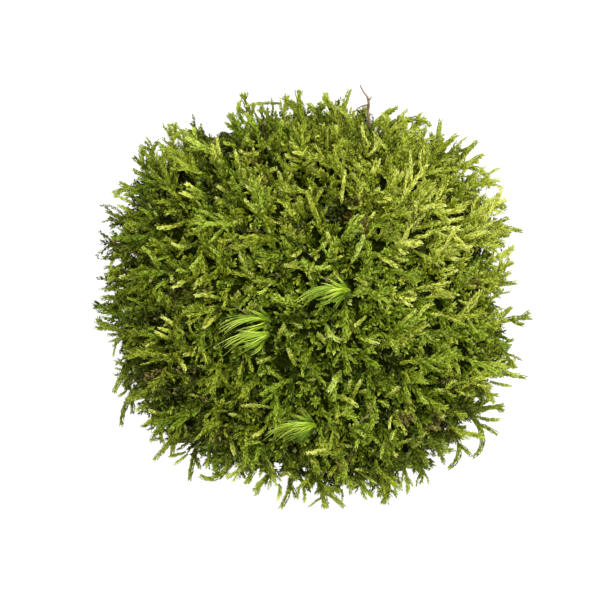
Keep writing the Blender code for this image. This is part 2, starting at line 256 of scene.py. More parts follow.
def paths(
    start: np.ndarray,
    first: np.ndarray,
    axis: np.ndarray,
    turn: np.ndarray,
    length: np.ndarray,
    points: int,
    hook: float = 1.0,
) -> np.ndarray:
    """Curves that start in a direction and turn steadily about an axis.

    Each step goes one share of the length in the first direction, turned about the axis by
    turn times the share of the way to the power of hook, and the steps are added up.

    Args:
        start: The first point of each curve.
        first: Its first direction.
        axis: The unit axis that it turns about.
        turn: How many degrees it turns in all.
        length: Its length.
        points: How many points it gets.
        hook: Above 1, most of the turn comes near the tip.

    Returns:
        The points, as curves by points by three.
    """
    share = (np.arange(points - 1) + 0.5) / (points - 1)
    angle = turn[:, None] * share**hook
    shape = (len(start), points - 1, 3)
    heading = turned(np.broadcast_to(first[:, None], shape), np.broadcast_to(axis[:, None], shape), angle)
    steps = heading * (length / (points - 1))[:, None, None]
    return start[:, None] + np.concatenate([np.zeros((len(start), 1, 3)), np.cumsum(steps, axis=1)], axis=1)


@dataclass(frozen=True)
class LeafCut:
    """The outline of one leaf: a closed keeled blade, pointed at both ends.

    Attributes:
        sections: For each cross-section, how far along it is, its half width and its keel, as shares.
        wide: The leaf's half width against its length.
        keel: The keel's height against the leaf's length.
        curl: How far the tip bends, against the leaf's length.
    """

    sections: tuple[tuple[float, float, float], ...] = ((0.42, 1.0, 1.0),)
    wide: float = 0.29
    keel: float = 0.14
    curl: float = 0.25

    def blade(self) -> tuple[np.ndarray, np.ndarray]:
        """The corners and faces of one leaf.

        Returns:
            The base, a left edge, keel and right edge for each section, and the tip, each as along,
            across and out; and the faces, which turn outwards.
        """
        rows = [(0.0, 0.0, 0.0)]
        for along, half, keel in self.sections:
            rows += [(along, -half, 0.0), (along, 0.0, keel), (along, half, 0.0)]
        rows.append((1.0, 0.0, 0.0))
        last, left = len(rows) - 1, 3 * len(self.sections) - 2
        faces = [(0, 2, 3), (0, 1, 2), (0, 3, 1)]
        for low in range(1, left, 3):
            high = low + 3
            faces += [(low, high, high + 1), (low, high + 1, low + 1)]
            faces += [(low + 1, high + 1, high + 2), (low + 1, high + 2, low + 2)]
            faces += [(low, low + 2, high + 2), (low, high + 2, high)]
        faces += [(left + 1, last, left + 2), (left, last, left + 1), (left, left + 2, last)]
        return np.array(rows), np.array(faces)


@dataclass(frozen=True)
class Foliage:
    """How leaves stand on a stem, and how both lie on the leaf map.

    Attributes:
        cut: The leaf's outline.
        gap: The distance from one leaf to the next.
        spread: The angle between a leaf and its stem, at the root and at the tip.
        roll: How far up from the side a leaf stands, lowest and highest, in degrees.
        taper: The leaf's length at the root, at its largest and at the tip, as shares.
        stem: The stem's radius against the leaves' length.
        bare: The share of a stem at its root that has no leaves.
        point: The stem's radius at its tip, as a share of that at its root.
        freshen: How much the tone gains from the root to the tip: partly fresher growth at the tip, partly
            painted shade at the root.
        scatter: How much the tone varies from leaf to leaf.
        fewest: How many leaves a stem has at least.
        within: Where a leaf may stand in its part of the stem.
        waver: How much the angle to the stem varies, in degrees.
        sizes: How much a leaf's length varies.
        sag: How far a leaf bends down, against how far it bends.
        flare: How far it bends outwards, likewise.
        curls: How much the bend varies.
        sunk: How far from the stem's middle a leaf starts, against the stem's radius.
        sides: How many sides a stem has.
    """

    cut: LeafCut = field(default_factory=LeafCut)
    gap: float = 0.34
    spread: tuple[float, float] = (24.0, 9.0)
    roll: tuple[float, float] = (0.0, 85.0)
    taper: tuple[float, float, float] = (0.85, 1.0, 0.6)
    stem: float = 0.28
    bare: float = 0.06
    point: float = 0.4
    freshen: float = 0.1
    scatter: float = 0.035
    fewest: int = 3
    within: tuple[float, float] = (0.1, 0.9)
    waver: float = 6.0
    sizes: tuple[float, float] = (0.85, 1.15)
    sag: float = 0.6
    flare: float = 0.5
    curls: tuple[float, float] = (0.4, 1.6)
    sunk: float = 0.7
    sides: int = 3

    def leaves(self, axes: Axes, rng: np.random.Generator) -> Skin:
        """Sets leaves along every stem, left and right in turn.

        A leaf starts on the stem's skin and points forward and out. Its corners are its base plus its
        direction times along, its side times across, its outer side times the keel, and a bend down
        and outwards that grows with the square of along.

        Args:
            axes: The stems.
            rng: The source of the leaves' small differences.

        Returns:
            All the leaves as one skin.
        """
        lengths = axes.lengths() * (1 - self.bare)
        counts = np.maximum((lengths / self.gap).astype(int), self.fewest)
        stem, number = numbered(counts)
        count = len(stem)
        within = (number + rng.uniform(*self.within, count)) / counts[stem]
        place, forward = axes.at(stem, self.bare + (1 - self.bare) * within)
        upper = square_to(axes.upper[stem], forward)
        sideways = np.cross(forward, upper)
        left_right = np.where(number % 2, 1.0, -1.0)
        roll = np.radians(rng.uniform(*self.roll, count))[:, None]
        out = sideways * left_right[:, None] * np.cos(roll) + upper * np.sin(roll)
        opening = self.spread[0] + (self.spread[1] - self.spread[0]) * within**2
        opening = np.radians(opening + rng.normal(0, self.waver, count))[:, None]
        along = forward * np.cos(opening) + out * np.sin(opening)
        face = out * np.cos(opening) - forward * np.sin(opening)
        side = np.cross(face, along)
        root, full, tip = self.taper
        past_half = 2 * within - 1
        size = np.where(past_half < 0, root + (full - root) * 2 * within, full + (tip - full) * past_half**2)
        length = (axes.leaf[stem] * size * rng.uniform(*self.sizes, count))[:, None]
        bend = -upper * self.sag + sideways * (left_right * self.flare)[:, None]
        bend = bend * (self.cut.curl * rng.uniform(*self.curls, count))[:, None]
        corners, faces = self.cut.blade()
        base = place + out * (axes.leaf[stem] * self.stem * self.sunk)[:, None]
        points = base[:, None] + length[:, None] * (
            along[:, None] * corners[None, :, :1]
            + side[:, None] * corners[None, :, 1:2] * self.cut.wide
            + face[:, None] * corners[None, :, 2:] * self.cut.keel
            + bend[:, None] * corners[None, :, :1] ** 2
        )
        # The tone rises from root to tip: partly fresher leaves at the tip, partly painted shade at the root.
        tone = axes.tone[stem] + self.freshen * (within - 0.5) + rng.normal(0, self.scatter, count)
        places = self.on_map(axes.green[stem], MAP_LEAF * corners[:, 0], tone, corners[:, 1])
        return self.skin(points, faces, places)

    def stems(self, axes: Axes, across: float = 0.3) -> Skin:
        """Makes a closed tube along every stem.

        Ring points lie at the radius times the cosine and sine of shares of a turn, on the stem's side
        and upper direction. The radius narrows from root to tip.

        Args:
            axes: The stems.
            across: How far across the leaf map the tube runs.

        Returns:
            All the tubes as one skin.
        """
        path = axes.path
        count, rings = path.shape[:2]
        forward = unit(np.gradient(path, axis=1))
        upper = square_to(np.broadcast_to(axes.upper[:, None], path.shape), forward)
        sideways = np.cross(forward, upper)
        share = np.linspace(0, 1, rings)
        radius = self.stem * axes.leaf[:, None, None] * (1 + (self.point - 1) * share)[None, :, None]
        corner = np.arange(self.sides)
        turn = corner * math.tau / self.sides
        ring = [path + radius * (math.cos(angle) * sideways + math.sin(angle) * upper) for angle in turn]
        points = np.stack(ring, axis=2).reshape(count, rings * self.sides, 3)
        after = (corner + 1) % self.sides
        far, far_after = corner + self.sides, after + self.sides
        halves = (corner, far, far_after), (corner, far_after, after)
        wall = np.concatenate([np.stack(half, 1) for half in halves])
        walls = (wall[None] + self.sides * np.arange(rings - 1)[:, None, None]).reshape(-1, 3)
        last = self.sides * (rings - 1)
        faces = np.concatenate([walls, [(0, 1, 2), (last, last + 2, last + 1)]])
        along = across * np.repeat(share, self.sides)
        return self.skin(points, faces, self.on_map(axes.green, along, axes.tone, np.tile(corner - 1, rings)))

    @staticmethod
    def on_map(green: np.ndarray, along: np.ndarray, tone: np.ndarray, side: np.ndarray) -> np.ndarray:
        """Places on the leaf map, as copies by corners by two.

        Args:
            green: 1 for each copy that has the greener colours, in the right half, else 0.
            along: How far along the map's half each corner is.
            tone: The tone of each copy.
            side: Which side of the middle each corner is on, from -1 to 1.

        Returns:
            The places.
        """
        across_map = (green[:, None] + MAP_MARGIN + along) / 2
        up_map = np.clip(tone[:, None], *MAP_TONES) + side * MAP_HALF_ROW
        return np.stack([across_map, up_map], -1)

    @staticmethod
    def skin(points: np.ndarray, faces: np.ndarray, places: np.ndarray) -> Skin:
        """Joins copies of one set of faces.

        Args:
            points: The points, as copies by corners by three.
            faces: The faces of one copy.
            places: Each corner's place on the leaf map.

        Returns:
            The copies as one skin.
        """
        copies, corners = points.shape[:2]
        numbered = faces[None] + corners * np.arange(copies)[:, None, None]
        return Skin(points.reshape(-1, 3), numbered.reshape(-1, 3), places[:, faces].reshape(-1, 2))

    def dressed(self, axes: Axes, rng: np.random.Generator) -> Skin:
        """The stems with their leaves, as one skin."""
        return Skin.joined([self.stems(axes), self.leaves(axes, rng)])


@dataclass(frozen=True)
class Bun:
    """The round body of the clump, with the same sizes as its solid.

    Attributes:
        radius: The outline's mean radius.
        widest: The height where it is widest.
        rise: How far it rises above that height.
        drop: How far its lower half would reach below it.
        power: How boxy its upright section is.
        waves: The outline's waves: how many, their share of the radius and where they peak.
        lump_height: How far the skin's lumps stand out.
        lump_spacing: The distance between lumps.
        lump_waves: The shifts of their two level waves, and the slant and share of the upright one.
        step: The step to a neighbouring place on the skin.
    """

    radius: float = 51.5
    widest: float = 14.0
    rise: float = 26.0
    drop: float = 24.0
    power: float = 2.5
    waves: tuple[tuple[int, float, float], ...] = (
        (1, 0.015, -130.0),
        (2, 0.022, -21.8),
        (3, 0.014, -56.7),
        (4, 0.025, 40.1),
        (6, 0.011, -25.0),
    )
    lump_height: float = 0.9
    lump_spacing: float = 11.0
    lump_waves: tuple[float, float, float, float] = (1.3, 0.4, 0.7, 0.6)
    step: float = 0.02

    def outline(self, bearing: np.ndarray) -> np.ndarray:
        """The radius at each bearing in degrees: the mean times one plus each wave's cosine."""
        shares = [share * np.cos(np.radians(count * (bearing - peak))) for count, share, peak in self.waves]
        return self.radius * (1 + sum(shares))

    def height(self, x: np.ndarray, y: np.ndarray) -> np.ndarray:
        """The height of the dome over a place, without its lumps."""
        share = np.minimum(np.hypot(x, y) / self.outline(np.degrees(np.arctan2(y, x))), 1)
        return self.widest + self.rise * (1 - share**self.power) ** (1 / self.power)

    def point(self, direction: np.ndarray) -> np.ndarray:
        """The skin's points in directions from the middle of the widest height.

        The distance is where the flat part over the radius and the upright part over the rise, each to
        the power, add up to one. Lumps of crossed sine waves push the point in or out.

        Args:
            direction: Unit vectors.

        Returns:
            The points.
        """
        x, y, z = np.moveaxis(direction, -1, 0)
        radius = self.outline(np.degrees(np.arctan2(y, x)))
        rise = np.where(z >= 0, self.rise, self.drop)
        total = (np.hypot(x, y) / radius) ** self.power + (np.abs(z) / rise) ** self.power
        point = direction * (total ** (-1 / self.power))[..., None]
        wx, wy, wz = np.moveaxis(point / self.lump_spacing * 2, -1, 0)
        shift_x, shift_y, slant, upright = self.lump_waves
        lump = np.sin(wx + shift_x) * np.sin(wy + shift_y) + np.sin(wz + slant * wx) * upright
        return point + direction * (self.lump_height * lump)[..., None] + UP * self.widest

    def normal(self, direction: np.ndarray) -> np.ndarray:
        """The skin's outward direction: the cross product of two short steps along it.

        Args:
            direction: Unit vectors from the middle of the widest height.

        Returns:
            One unit vector for each.
        """
        nearly_up = UP + (self.step / 2, self.step, 0)
        east = unit(np.cross(nearly_up, direction))
        north = np.cross(direction, east)
        here = self.point(direction)
        one, two = (self.point(unit(direction + self.step * way)) for way in (east, north))
        return unit(np.cross(one - here, two - here))


@dataclass(frozen=True)
class Patch:
    """A part of the clump that differs from the rest, placed by its pixel in the photograph.

    Attributes:
        x: The pixel's column.
        y: The pixel's row.
        reach: How far the patch reaches, in pixels.
        tone: What it adds to the tone, partly the moss's own colour and partly painted light and shade.
        length: What it adds to the shoots' length, as a share.
        turn: How far its shoots turn to the left, in degrees.
        lie: How much flatter they lie.
        green: What it adds to the share of shoots that have the greener colours.
    """

    x: float
    y: float
    reach: float
    tone: float = 0.0
    length: float = 0.0
    turn: float = 0.0
    lie: float = 0.0
    green: float = 0.0


# The patches' tones: partly the moss's own colour, partly painted light, paler at the upper right and darker
# round the rim.
PATCHES = (
    Patch(440, 215, 60, tone=0.10, length=0.25, turn=5, lie=0.5, green=-0.5),
    Patch(430, 255, 40, tone=0.06, green=-0.1),
    Patch(370, 180, 28, tone=0.03, length=0.10, turn=10, green=-0.3),
    Patch(160, 250, 55, length=0.10, lie=0.4),
    Patch(128, 260, 22, length=0.35),
    Patch(290, 200, 45, tone=0.06, turn=25, green=-0.2),
    Patch(295, 265, 30, tone=0.07, green=0.2),
    Patch(420, 300, 50, tone=0.06, turn=10, green=0.2),
    Patch(325, 335, 70, tone=-0.03, length=-0.3, green=0.7),
    Patch(250, 370, 50, tone=-0.04, length=-0.1, green=0.1),
    Patch(190, 345, 50, tone=-0.07),
    Patch(455, 370, 50, tone=0.05, green=0.1),
    Patch(310, 450, 45, tone=0.05),
    Patch(150, 180, 40, tone=-0.10, green=0.3),
    Patch(115, 300, 40, tone=-0.10),
    Patch(180, 460, 45, tone=-0.12),
    Patch(320, 505, 40, tone=-0.06),
    Patch(470, 455, 45, tone=-0.10),
    Patch(510, 380, 35, tone=-0.08, green=0.2),
)

# The dark gaps between shoots: the middle of each in the photograph, and how far it reaches. Shoots seen deep
# in them get painted shade.
GAPS = (
    (345, 205, 8), (330, 215, 6), (210, 195, 8), (165, 315, 8), (420, 250, 7), (435, 280, 5),
    (475, 255, 5), (380, 245, 7), (394, 366, 9), (380, 356, 9), (410, 236, 4), (449, 194, 4),
    (440, 214, 4), (262, 130, 5), (228, 152, 5), (275, 162, 5), (298, 182, 6), (184, 176, 5),
    (219, 184, 4), (160, 222, 5), (134, 254, 5), (192, 252, 6), (210, 262, 5), (180, 288, 5),
    (165, 194, 5), (216, 286, 4), (341, 303, 5), (350, 285, 5), (424, 298, 4), (427, 355, 5),
    (310, 310, 4), (320, 390, 5), (440, 385, 4), (270, 350, 5), (275, 332, 5), (275, 215, 6),
    (297, 228, 4), (245, 232, 4), (235, 268, 4), (233, 286, 4), (269, 275, 5), (305, 253, 4),
    (319, 259, 4), (317, 238, 4), (454, 261, 4), (461, 308, 4), (475, 291, 4), (474, 346, 3),
    (463, 365, 5), (443, 383, 5), (460, 403, 4), (443, 425, 4), (350, 421, 4), (386, 415, 4),
    (405, 449, 5), (375, 457, 4), (351, 470, 4), (288, 451, 5), (305, 470, 5), (316, 437, 5),
    (277, 463, 4), (265, 432, 4), (264, 417, 4), (157, 317, 6), (185, 361, 6), (195, 374, 6),
    (180, 398, 6), (154, 371, 8), (191, 423, 6), (222, 433, 6), (172, 388, 6), (228, 352, 5),
)

# The brown patches of dead shoots: the middle of each and how far it reaches.
WITHERED = (
    (350, 211, 13), (413, 214, 5), (250, 161, 5), (268, 178, 6), (154, 370, 6), (235, 246, 4),
    (254, 231, 4), (443, 423, 6), (408, 420, 6), (474, 283, 5), (345, 465, 4), (300, 447, 4),
)

# Each strand's root and tip in the photograph, its width in pixels and its tone in hundredths.
STRANDS = (
    (360, 209, 362, 184, 6, 84), (362, 185, 378, 160, 9, 88), (360, 186, 352, 174, 6, 84),
    (365, 204, 380, 188, 6, 86), (363, 209, 348, 208, 6, 80), (384, 202, 405, 171, 8, 84),
    (389, 192, 397, 171, 9, 74), (384, 169, 388, 156, 5, 78), (406, 203, 419, 185, 6, 80),
    (414, 208, 435, 190, 6, 86), (406, 210, 445, 206, 7, 88), (432, 192, 457, 173, 6, 76),
    (446, 208, 472, 201, 6, 80), (412, 229, 462, 218, 7, 84), (438, 182, 433, 167, 6, 82),
    (457, 167, 479, 162, 6, 78), (427, 159, 455, 136, 6, 76), (330, 149, 327, 130, 6, 76),
    (332, 143, 337, 125, 6, 84), (336, 146, 351, 134, 5, 76), (356, 160, 347, 145, 6, 80),
    (361, 158, 360, 144, 6, 76), (364, 155, 370, 143, 5, 78), (314, 204, 322, 189, 6, 80),
    (304, 218, 300, 201, 8, 64), (320, 218, 327, 206, 5, 74), (376, 240, 382, 229, 5, 80),
    (371, 252, 398, 267, 7, 86), (434, 247, 458, 260, 8, 90), (413, 250, 438, 263, 6, 80),
    (333, 250, 326, 230, 6, 86), (311, 255, 328, 241, 5, 76), (466, 232, 475, 221, 6, 78),
    (226, 190, 217, 138, 6, 86), (239, 182, 235, 151, 6, 78), (268, 142, 283, 119, 8, 82),
    (275, 135, 292, 120, 7, 80), (288, 134, 310, 125, 6, 78), (255, 113, 267, 125, 5, 80),
    (252, 130, 245, 114, 7, 74), (262, 140, 270, 150, 5, 86), (256, 155, 239, 150, 5, 82),
    (303, 162, 285, 155, 7, 84), (301, 168, 290, 163, 6, 84), (307, 168, 314, 165, 6, 92),
    (283, 190, 278, 171, 6, 86), (285, 192, 292, 174, 5, 84), (290, 195, 296, 184, 5, 80),
    (257, 188, 240, 183, 6, 86), (289, 204, 246, 186, 7, 84), (257, 176, 248, 170, 5, 86),
    (261, 175, 277, 168, 6, 78), (302, 208, 297, 197, 6, 86), (262, 212, 271, 203, 5, 86),
    (268, 223, 245, 200, 6, 84), (208, 198, 186, 184, 8, 84), (211, 197, 181, 192, 7, 82),
    (229, 192, 217, 186, 6, 86), (229, 208, 215, 197, 6, 84), (327, 143, 326, 130, 6, 80),
    (336, 142, 336, 126, 7, 84), (282, 104, 246, 106, 5, 74), (145, 231, 134, 222, 5, 86),
    (185, 222, 158, 228, 6, 80), (151, 206, 157, 216, 5, 88), (172, 208, 165, 216, 5, 86),
    (167, 250, 153, 239, 6, 86), (198, 241, 172, 243, 6, 86), (177, 257, 184, 247, 5, 84),
    (148, 271, 120, 277, 7, 88), (153, 270, 151, 282, 5, 88), (166, 269, 172, 283, 6, 88),
    (197, 276, 173, 288, 7, 86), (207, 277, 195, 287, 6, 82), (227, 300, 194, 295, 5, 88),
    (215, 292, 195, 297, 5, 84), (137, 206, 117, 196, 5, 74), (135, 212, 117, 205, 5, 74),
    (158, 216, 148, 204, 6, 86), (131, 232, 125, 211, 7, 56), (126, 236, 108, 275, 5, 68),
    (395, 304, 403, 300, 5, 92), (395, 328, 416, 310, 6, 88), (356, 336, 379, 344, 6, 88),
    (366, 316, 354, 326, 6, 88), (418, 321, 430, 327, 5, 86), (421, 328, 431, 340, 4, 86),
    (403, 339, 401, 347, 5, 90), (348, 392, 350, 379, 6, 86), (353, 397, 361, 379, 6, 86),
    (359, 392, 366, 389, 6, 82), (385, 397, 399, 386, 6, 88), (334, 396, 358, 407, 6, 82),
    (429, 392, 444, 390, 6, 86), (421, 297, 409, 293, 5, 86), (401, 293, 451, 282, 5, 86),
    (435, 278, 457, 270, 6, 88), (428, 272, 454, 268, 6, 86), (357, 278, 368, 285, 6, 86),
    (366, 276, 372, 279, 5, 90), (323, 341, 319, 333, 5, 86), (308, 380, 315, 378, 5, 88),
    (451, 346, 446, 330, 5, 80), (440, 351, 448, 346, 5, 82), (222, 313, 203, 329, 6, 88),
    (197, 337, 190, 317, 4, 84), (240, 266, 252, 274, 5, 84), (233, 301, 240, 292, 7, 86),
    (218, 276, 193, 289, 6, 80), (247, 312, 256, 303, 6, 88), (278, 338, 285, 325, 7, 84),
    (291, 322, 302, 327, 5, 90), (307, 320, 318, 321, 4, 86), (271, 357, 257, 362, 6, 86),
    (296, 366, 288, 348, 7, 86), (317, 334, 325, 342, 6, 86), (198, 354, 183, 355, 6, 86),
    (193, 366, 206, 367, 4, 84), (462, 266, 478, 261, 5, 86), (467, 278, 487, 272, 5, 86),
    (464, 288, 476, 287, 6, 76), (485, 324, 485, 314, 6, 88), (490, 325, 490, 316, 6, 88),
    (484, 309, 467, 318, 7, 74), (486, 308, 490, 296, 6, 80), (433, 261, 438, 266, 5, 88),
    (467, 347, 473, 354, 5, 82), (479, 358, 473, 357, 5, 86), (481, 344, 483, 353, 5, 86),
    (465, 401, 467, 391, 6, 90), (472, 402, 473, 391, 6, 90), (427, 407, 444, 417, 8, 86),
    (490, 381, 512, 386, 5, 72), (480, 418, 500, 419, 6, 66), (395, 444, 427, 433, 5, 90),
    (371, 412, 369, 403, 7, 86), (390, 416, 398, 409, 5, 82), (402, 398, 412, 403, 5, 84),
    (374, 473, 355, 469, 5, 90), (356, 470, 377, 484, 4, 80), (333, 432, 339, 436, 5, 90),
    (340, 443, 352, 446, 5, 86), (388, 445, 397, 456, 6, 82), (412, 450, 420, 441, 6, 86),
    (369, 456, 374, 449, 5, 82), (273, 408, 242, 406, 5, 88), (267, 425, 252, 437, 6, 88),
    (338, 442, 307, 453, 7, 90), (322, 473, 312, 460, 6, 86), (276, 474, 270, 462, 4, 88),
    (280, 476, 292, 474, 6, 88), (279, 484, 277, 500, 6, 80), (303, 486, 304, 503, 5, 70),
    (299, 487, 298, 499, 4, 70), (322, 497, 308, 507, 4, 70), (321, 494, 328, 508, 5, 72),
    (325, 494, 345, 506, 4, 72), (342, 489, 342, 502, 4, 66), (232, 442, 235, 455, 5, 86),
    (184, 334, 161, 316, 6, 88), (173, 339, 155, 331, 6, 88), (181, 336, 158, 328, 5, 82),
    (155, 327, 129, 333, 5, 80), (157, 342, 145, 346, 6, 88), (167, 367, 153, 392, 4, 88),
    (176, 355, 186, 371, 7, 84), (207, 400, 190, 394, 4, 86), (166, 415, 149, 410, 6, 86),
    (127, 390, 118, 397, 5, 70), (122, 336, 107, 335, 5, 68), (116, 339, 113, 357, 4, 72),
    (127, 363, 114, 360, 4, 68), (127, 373, 115, 368, 4, 64), (163, 438, 149, 440, 5, 72),
    (149, 424, 140, 426, 5, 72), (186, 452, 168, 457, 5, 70), (188, 454, 174, 465, 5, 78),
    (209, 454, 206, 469, 4, 70), (184, 438, 185, 425, 4, 86), (231, 436, 235, 455, 6, 88),
    (224, 429, 228, 437, 4, 88), (242, 416, 229, 413, 6, 86), (203, 425, 209, 420, 6, 82),
    (247, 270, 240, 255, 6, 88), (248, 201, 280, 224, 4, 72), (271, 203, 261, 213, 5, 86),
    (304, 270, 284, 266, 5, 90), (301, 262, 284, 264, 4, 86), (314, 262, 309, 274, 5, 88),
    (302, 248, 291, 257, 6, 88), (295, 238, 303, 235, 4, 86), (287, 237, 295, 233, 5, 86),
    (263, 228, 271, 233, 5, 86), (251, 279, 254, 274, 5, 90), (245, 292, 253, 285, 6, 86),
    (257, 286, 261, 280, 5, 90), (272, 263, 282, 262, 4, 17), (245, 230, 263, 233, 5, 20),
    (230, 247, 241, 242, 5, 17), (470, 285, 481, 283, 5, 14), (466, 315, 471, 326, 5, 82),
    (251, 314, 245, 309, 6, 90), (256, 310, 252, 303, 6, 86), (300, 419, 294, 415, 6, 90),
    (303, 415, 300, 408, 6, 86), (336, 286, 330, 281, 6, 90), (340, 281, 336, 275, 6, 86),
    (134, 246, 119, 235, 6, 60), (130, 256, 113, 254, 7, 58), (129, 264, 112, 270, 6, 62),
    (124, 273, 107, 281, 7, 60), (119, 288, 104, 291, 6, 62), (120, 300, 101, 299, 7, 60),
    (242, 122, 240, 100, 7, 66), (250, 118, 254, 102, 6, 68), (262, 116, 262, 104, 6, 64),
    (160, 416, 146, 424, 7, 62), (168, 430, 153, 436, 6, 60), (152, 404, 136, 410, 7, 62),
)


class Clearing(Enum):
    """What a storey of fronds leaves free, seen from above; each leaves the ones before it free too."""

    NOTHING = 0
    GAPS = 1
    TUFTS = 2
    STRANDS = 3


@dataclass(frozen=True)
class Storey:
    """One storey of fronds in the mass.

    Attributes:
        name: What the storey is called.
        spacing: The least distance between two roots.
        depth: How deep below the bun's skin the roots are.
        length: The shortest and longest frond.
        leaf: The leaves' length.
        tone: The mean tone.
        scatter: How much the tone differs from frond to frond.
        rise: How steeply a frond starts out of the skin and how steeply it ends.
        foliage: How the leaves stand.
        keeps_clear: What it leaves free, seen from above.
        twigs: The distance between side shoots, or 0 for none.
        twig: A side shoot's length against the frond's.
        fine: A side shoot's leaves against the frond's.
        wander: How far a frond's bearing strays from straight outwards, in degrees.
        points: How many points a frond's stem has.
    """

    name: str
    spacing: float
    depth: float
    length: tuple[float, float]
    leaf: float
    tone: float
    scatter: float
    rise: tuple[float, float]
    foliage: Foliage
    keeps_clear: Clearing
    twigs: float = 0.0
    twig: float = 0.45
    fine: float = 0.66
    wander: float = 34.0
    points: int = 8


SPRAY = Foliage(cut=LeafCut(wide=0.34))
# The deeper a storey's roots, the lower its tone: partly older shoots, partly painted shade of depth.
STOREYS = (
    Storey("deep", 4.4, 4.2, (8, 13), 1.7, 0.40, 0.06, (0.7, 0.1),
           replace(SPRAY, gap=0.6, stem=0.2), Clearing.NOTHING, twigs=2.4, fine=0.9),
    Storey("bud", 1.85, 3.0, (3.4, 5.6), 1.5, 0.53, 0.11, (2.4, 1.2),
           Foliage(LeafCut(wide=0.36), 0.46, (48.0, 14.0), (-80.0, 80.0)), Clearing.GAPS,
           wander=90.0, points=4),
    Storey("middle", 4.7, 2.6, (8, 13), 1.35, 0.56, 0.08, (0.9, 0.25),
           replace(SPRAY, gap=0.31), Clearing.TUFTS, twigs=1.7),
    Storey("outer", 5.4, 1.2, (9, 15), 1.45, 0.68, 0.10, (1.0, 0.42),
           replace(SPRAY, gap=0.26, stem=0.34, spread=(19.0, 8.0)), Clearing.STRANDS,
           twigs=2.0, fine=0.72, wander=24.0),
)


STRAND_FOLIAGE = Foliage(
    cut=LeafCut(((0.3, 1.0, 1.0), (0.65, 0.72, 0.7)), wide=0.36, keel=0.1, curl=0.2),
    gap=0.2,
    spread=(20.0, 9.0),
    taper=(0.7, 1.0, 0.5),
    stem=0.38,
    freshen=0.3,
    point=0.25,
)


@dataclass(frozen=True)
class Strands:
    """The strands that stand out in the photograph, each laid over the mass where it is seen.

    Attributes:
        points: How many points a strand has.
        bow: How far it bows sideways, against its length.
        shoulder: The share of the outline where the rim's strands get their height.
        root: How high a strand's root is above the dome.
        tip: How high its tip is.
        climb: The power of the way along it by which it climbs.
        droop: How far it sinks past the outline, for each share of the radius.
        lean: How far its upper side leans outwards.
        leaf: Its leaves' length for each pixel of its width.
        darker: What is taken off its tone.
        clear_from: The share of its way from which other shoots keep clear.
        circles_each: How many circles keep it clear.
        margin: How far past its edge they reach, in pixels.
    """

    points: int = 7
    bow: float = 0.06
    shoulder: float = 0.96
    root: float = -0.8
    tip: float = 3.4
    climb: float = 1.5
    droop: float = 30.0
    lean: float = 0.3
    leaf: float = 0.19
    darker: float = 0.08
    clear_from: float = 0.2
    circles_each: int = 5
    margin: float = 1.5

    def circles(self) -> np.ndarray:
        """Circles along the strands that other shoots keep clear of.

        Returns:
            Each circle's x, y and radius, in pixels.
        """
        strand = np.array(STRANDS, float)
        share = np.linspace(self.clear_from, 1, self.circles_each)[:, None, None]
        along = strand[:, :2] * (1 - share) + strand[:, 2:4] * share
        radius = np.broadcast_to(strand[:, 4:5] * 0.5 + self.margin, (*along.shape[:2], 1))
        return np.concatenate([along, radius], -1).reshape(-1, 3)

    def laid(self, bun: Bun, rng: np.random.Generator) -> Axes:
        """Lays each strand over the bun.

        A strand's height is the dome's at its place, not nearer to the rim than the shoulder, plus a
        lift that grows with a power of the share of the way. It bows sideways by a small chance.

        Args:
            bun: The body, for its height.
            rng: The source of the bows.

        Returns:
            The strands.
        """
        strand = np.array(STRANDS, float)
        share = np.linspace(0, 1, self.points)
        count = len(strand)
        reach = strand[:, 2:4] - strand[:, :2]
        pixel = strand[:, None, :2] + reach[:, None] * share[None, :, None]
        left = np.stack([-reach[:, 1], reach[:, 0]], 1)
        bow = rng.normal(0, self.bow, count)[:, None, None] * left[:, None]
        pixel = pixel + bow * (4 * share * (1 - share))[None, :, None]
        x, y = np.moveaxis(from_photo(pixel)[..., :2], -1, 0)
        radius, outline = np.hypot(x, y), bun.outline(np.degrees(np.arctan2(y, x)))
        inner = np.minimum(1, self.shoulder * outline / radius)
        height = bun.height(x * inner, y * inner)
        height += self.root + (self.tip - self.root) * share**self.climb
        height -= np.maximum(radius / outline - 1, 0) * self.droop
        path = from_photo(pixel, height)
        upper = unit(UP + self.lean * unit(path[:, 0] * (1, 1, 0)))
        tone = strand[:, 5] / 100 - self.darker
        return Axes(path, upper, strand[:, 4] * self.leaf, tone, np.zeros(count))


@dataclass(frozen=True)
class Habit:
    """How the main stems differ. A pair is a mean and a spread, or the least and the most.

    Attributes:
        middle: Nearer than this to the middle, fronds lie any way.
        stray: How much their outward direction differs.
        tilt: How far up they head at the sides.
        hug: How far their heading is laid along the skin.
        vigour: How steeply they rise, against the storey's rise.
        sway: How far they swing sideways, in degrees.
        short: How much shorter they are at the sides.
        dark: How much darker they are there: partly older shoots, partly painted shade of the steep sides.
        tones: The ends of their tone.
        hook: How much of the turn comes near the tip.
        leaves: How much the size of their leaves differs.
        upturned: How far their upper side turns from the skin's normal to straight up.
    """

    middle: float = 12.0
    stray: float = 0.35
    tilt: tuple[float, float] = (-0.05, 0.35)
    hug: float = 0.8
    vigour: tuple[float, float] = (0.75, 1.35)
    sway: float = 28.0
    short: float = 0.42
    dark: float = 0.1
    tones: tuple[float, float] = (0.31, 0.84)
    hook: float = 1.3
    leaves: tuple[float, float] = (0.85, 1.15)
    upturned: float = 0.5


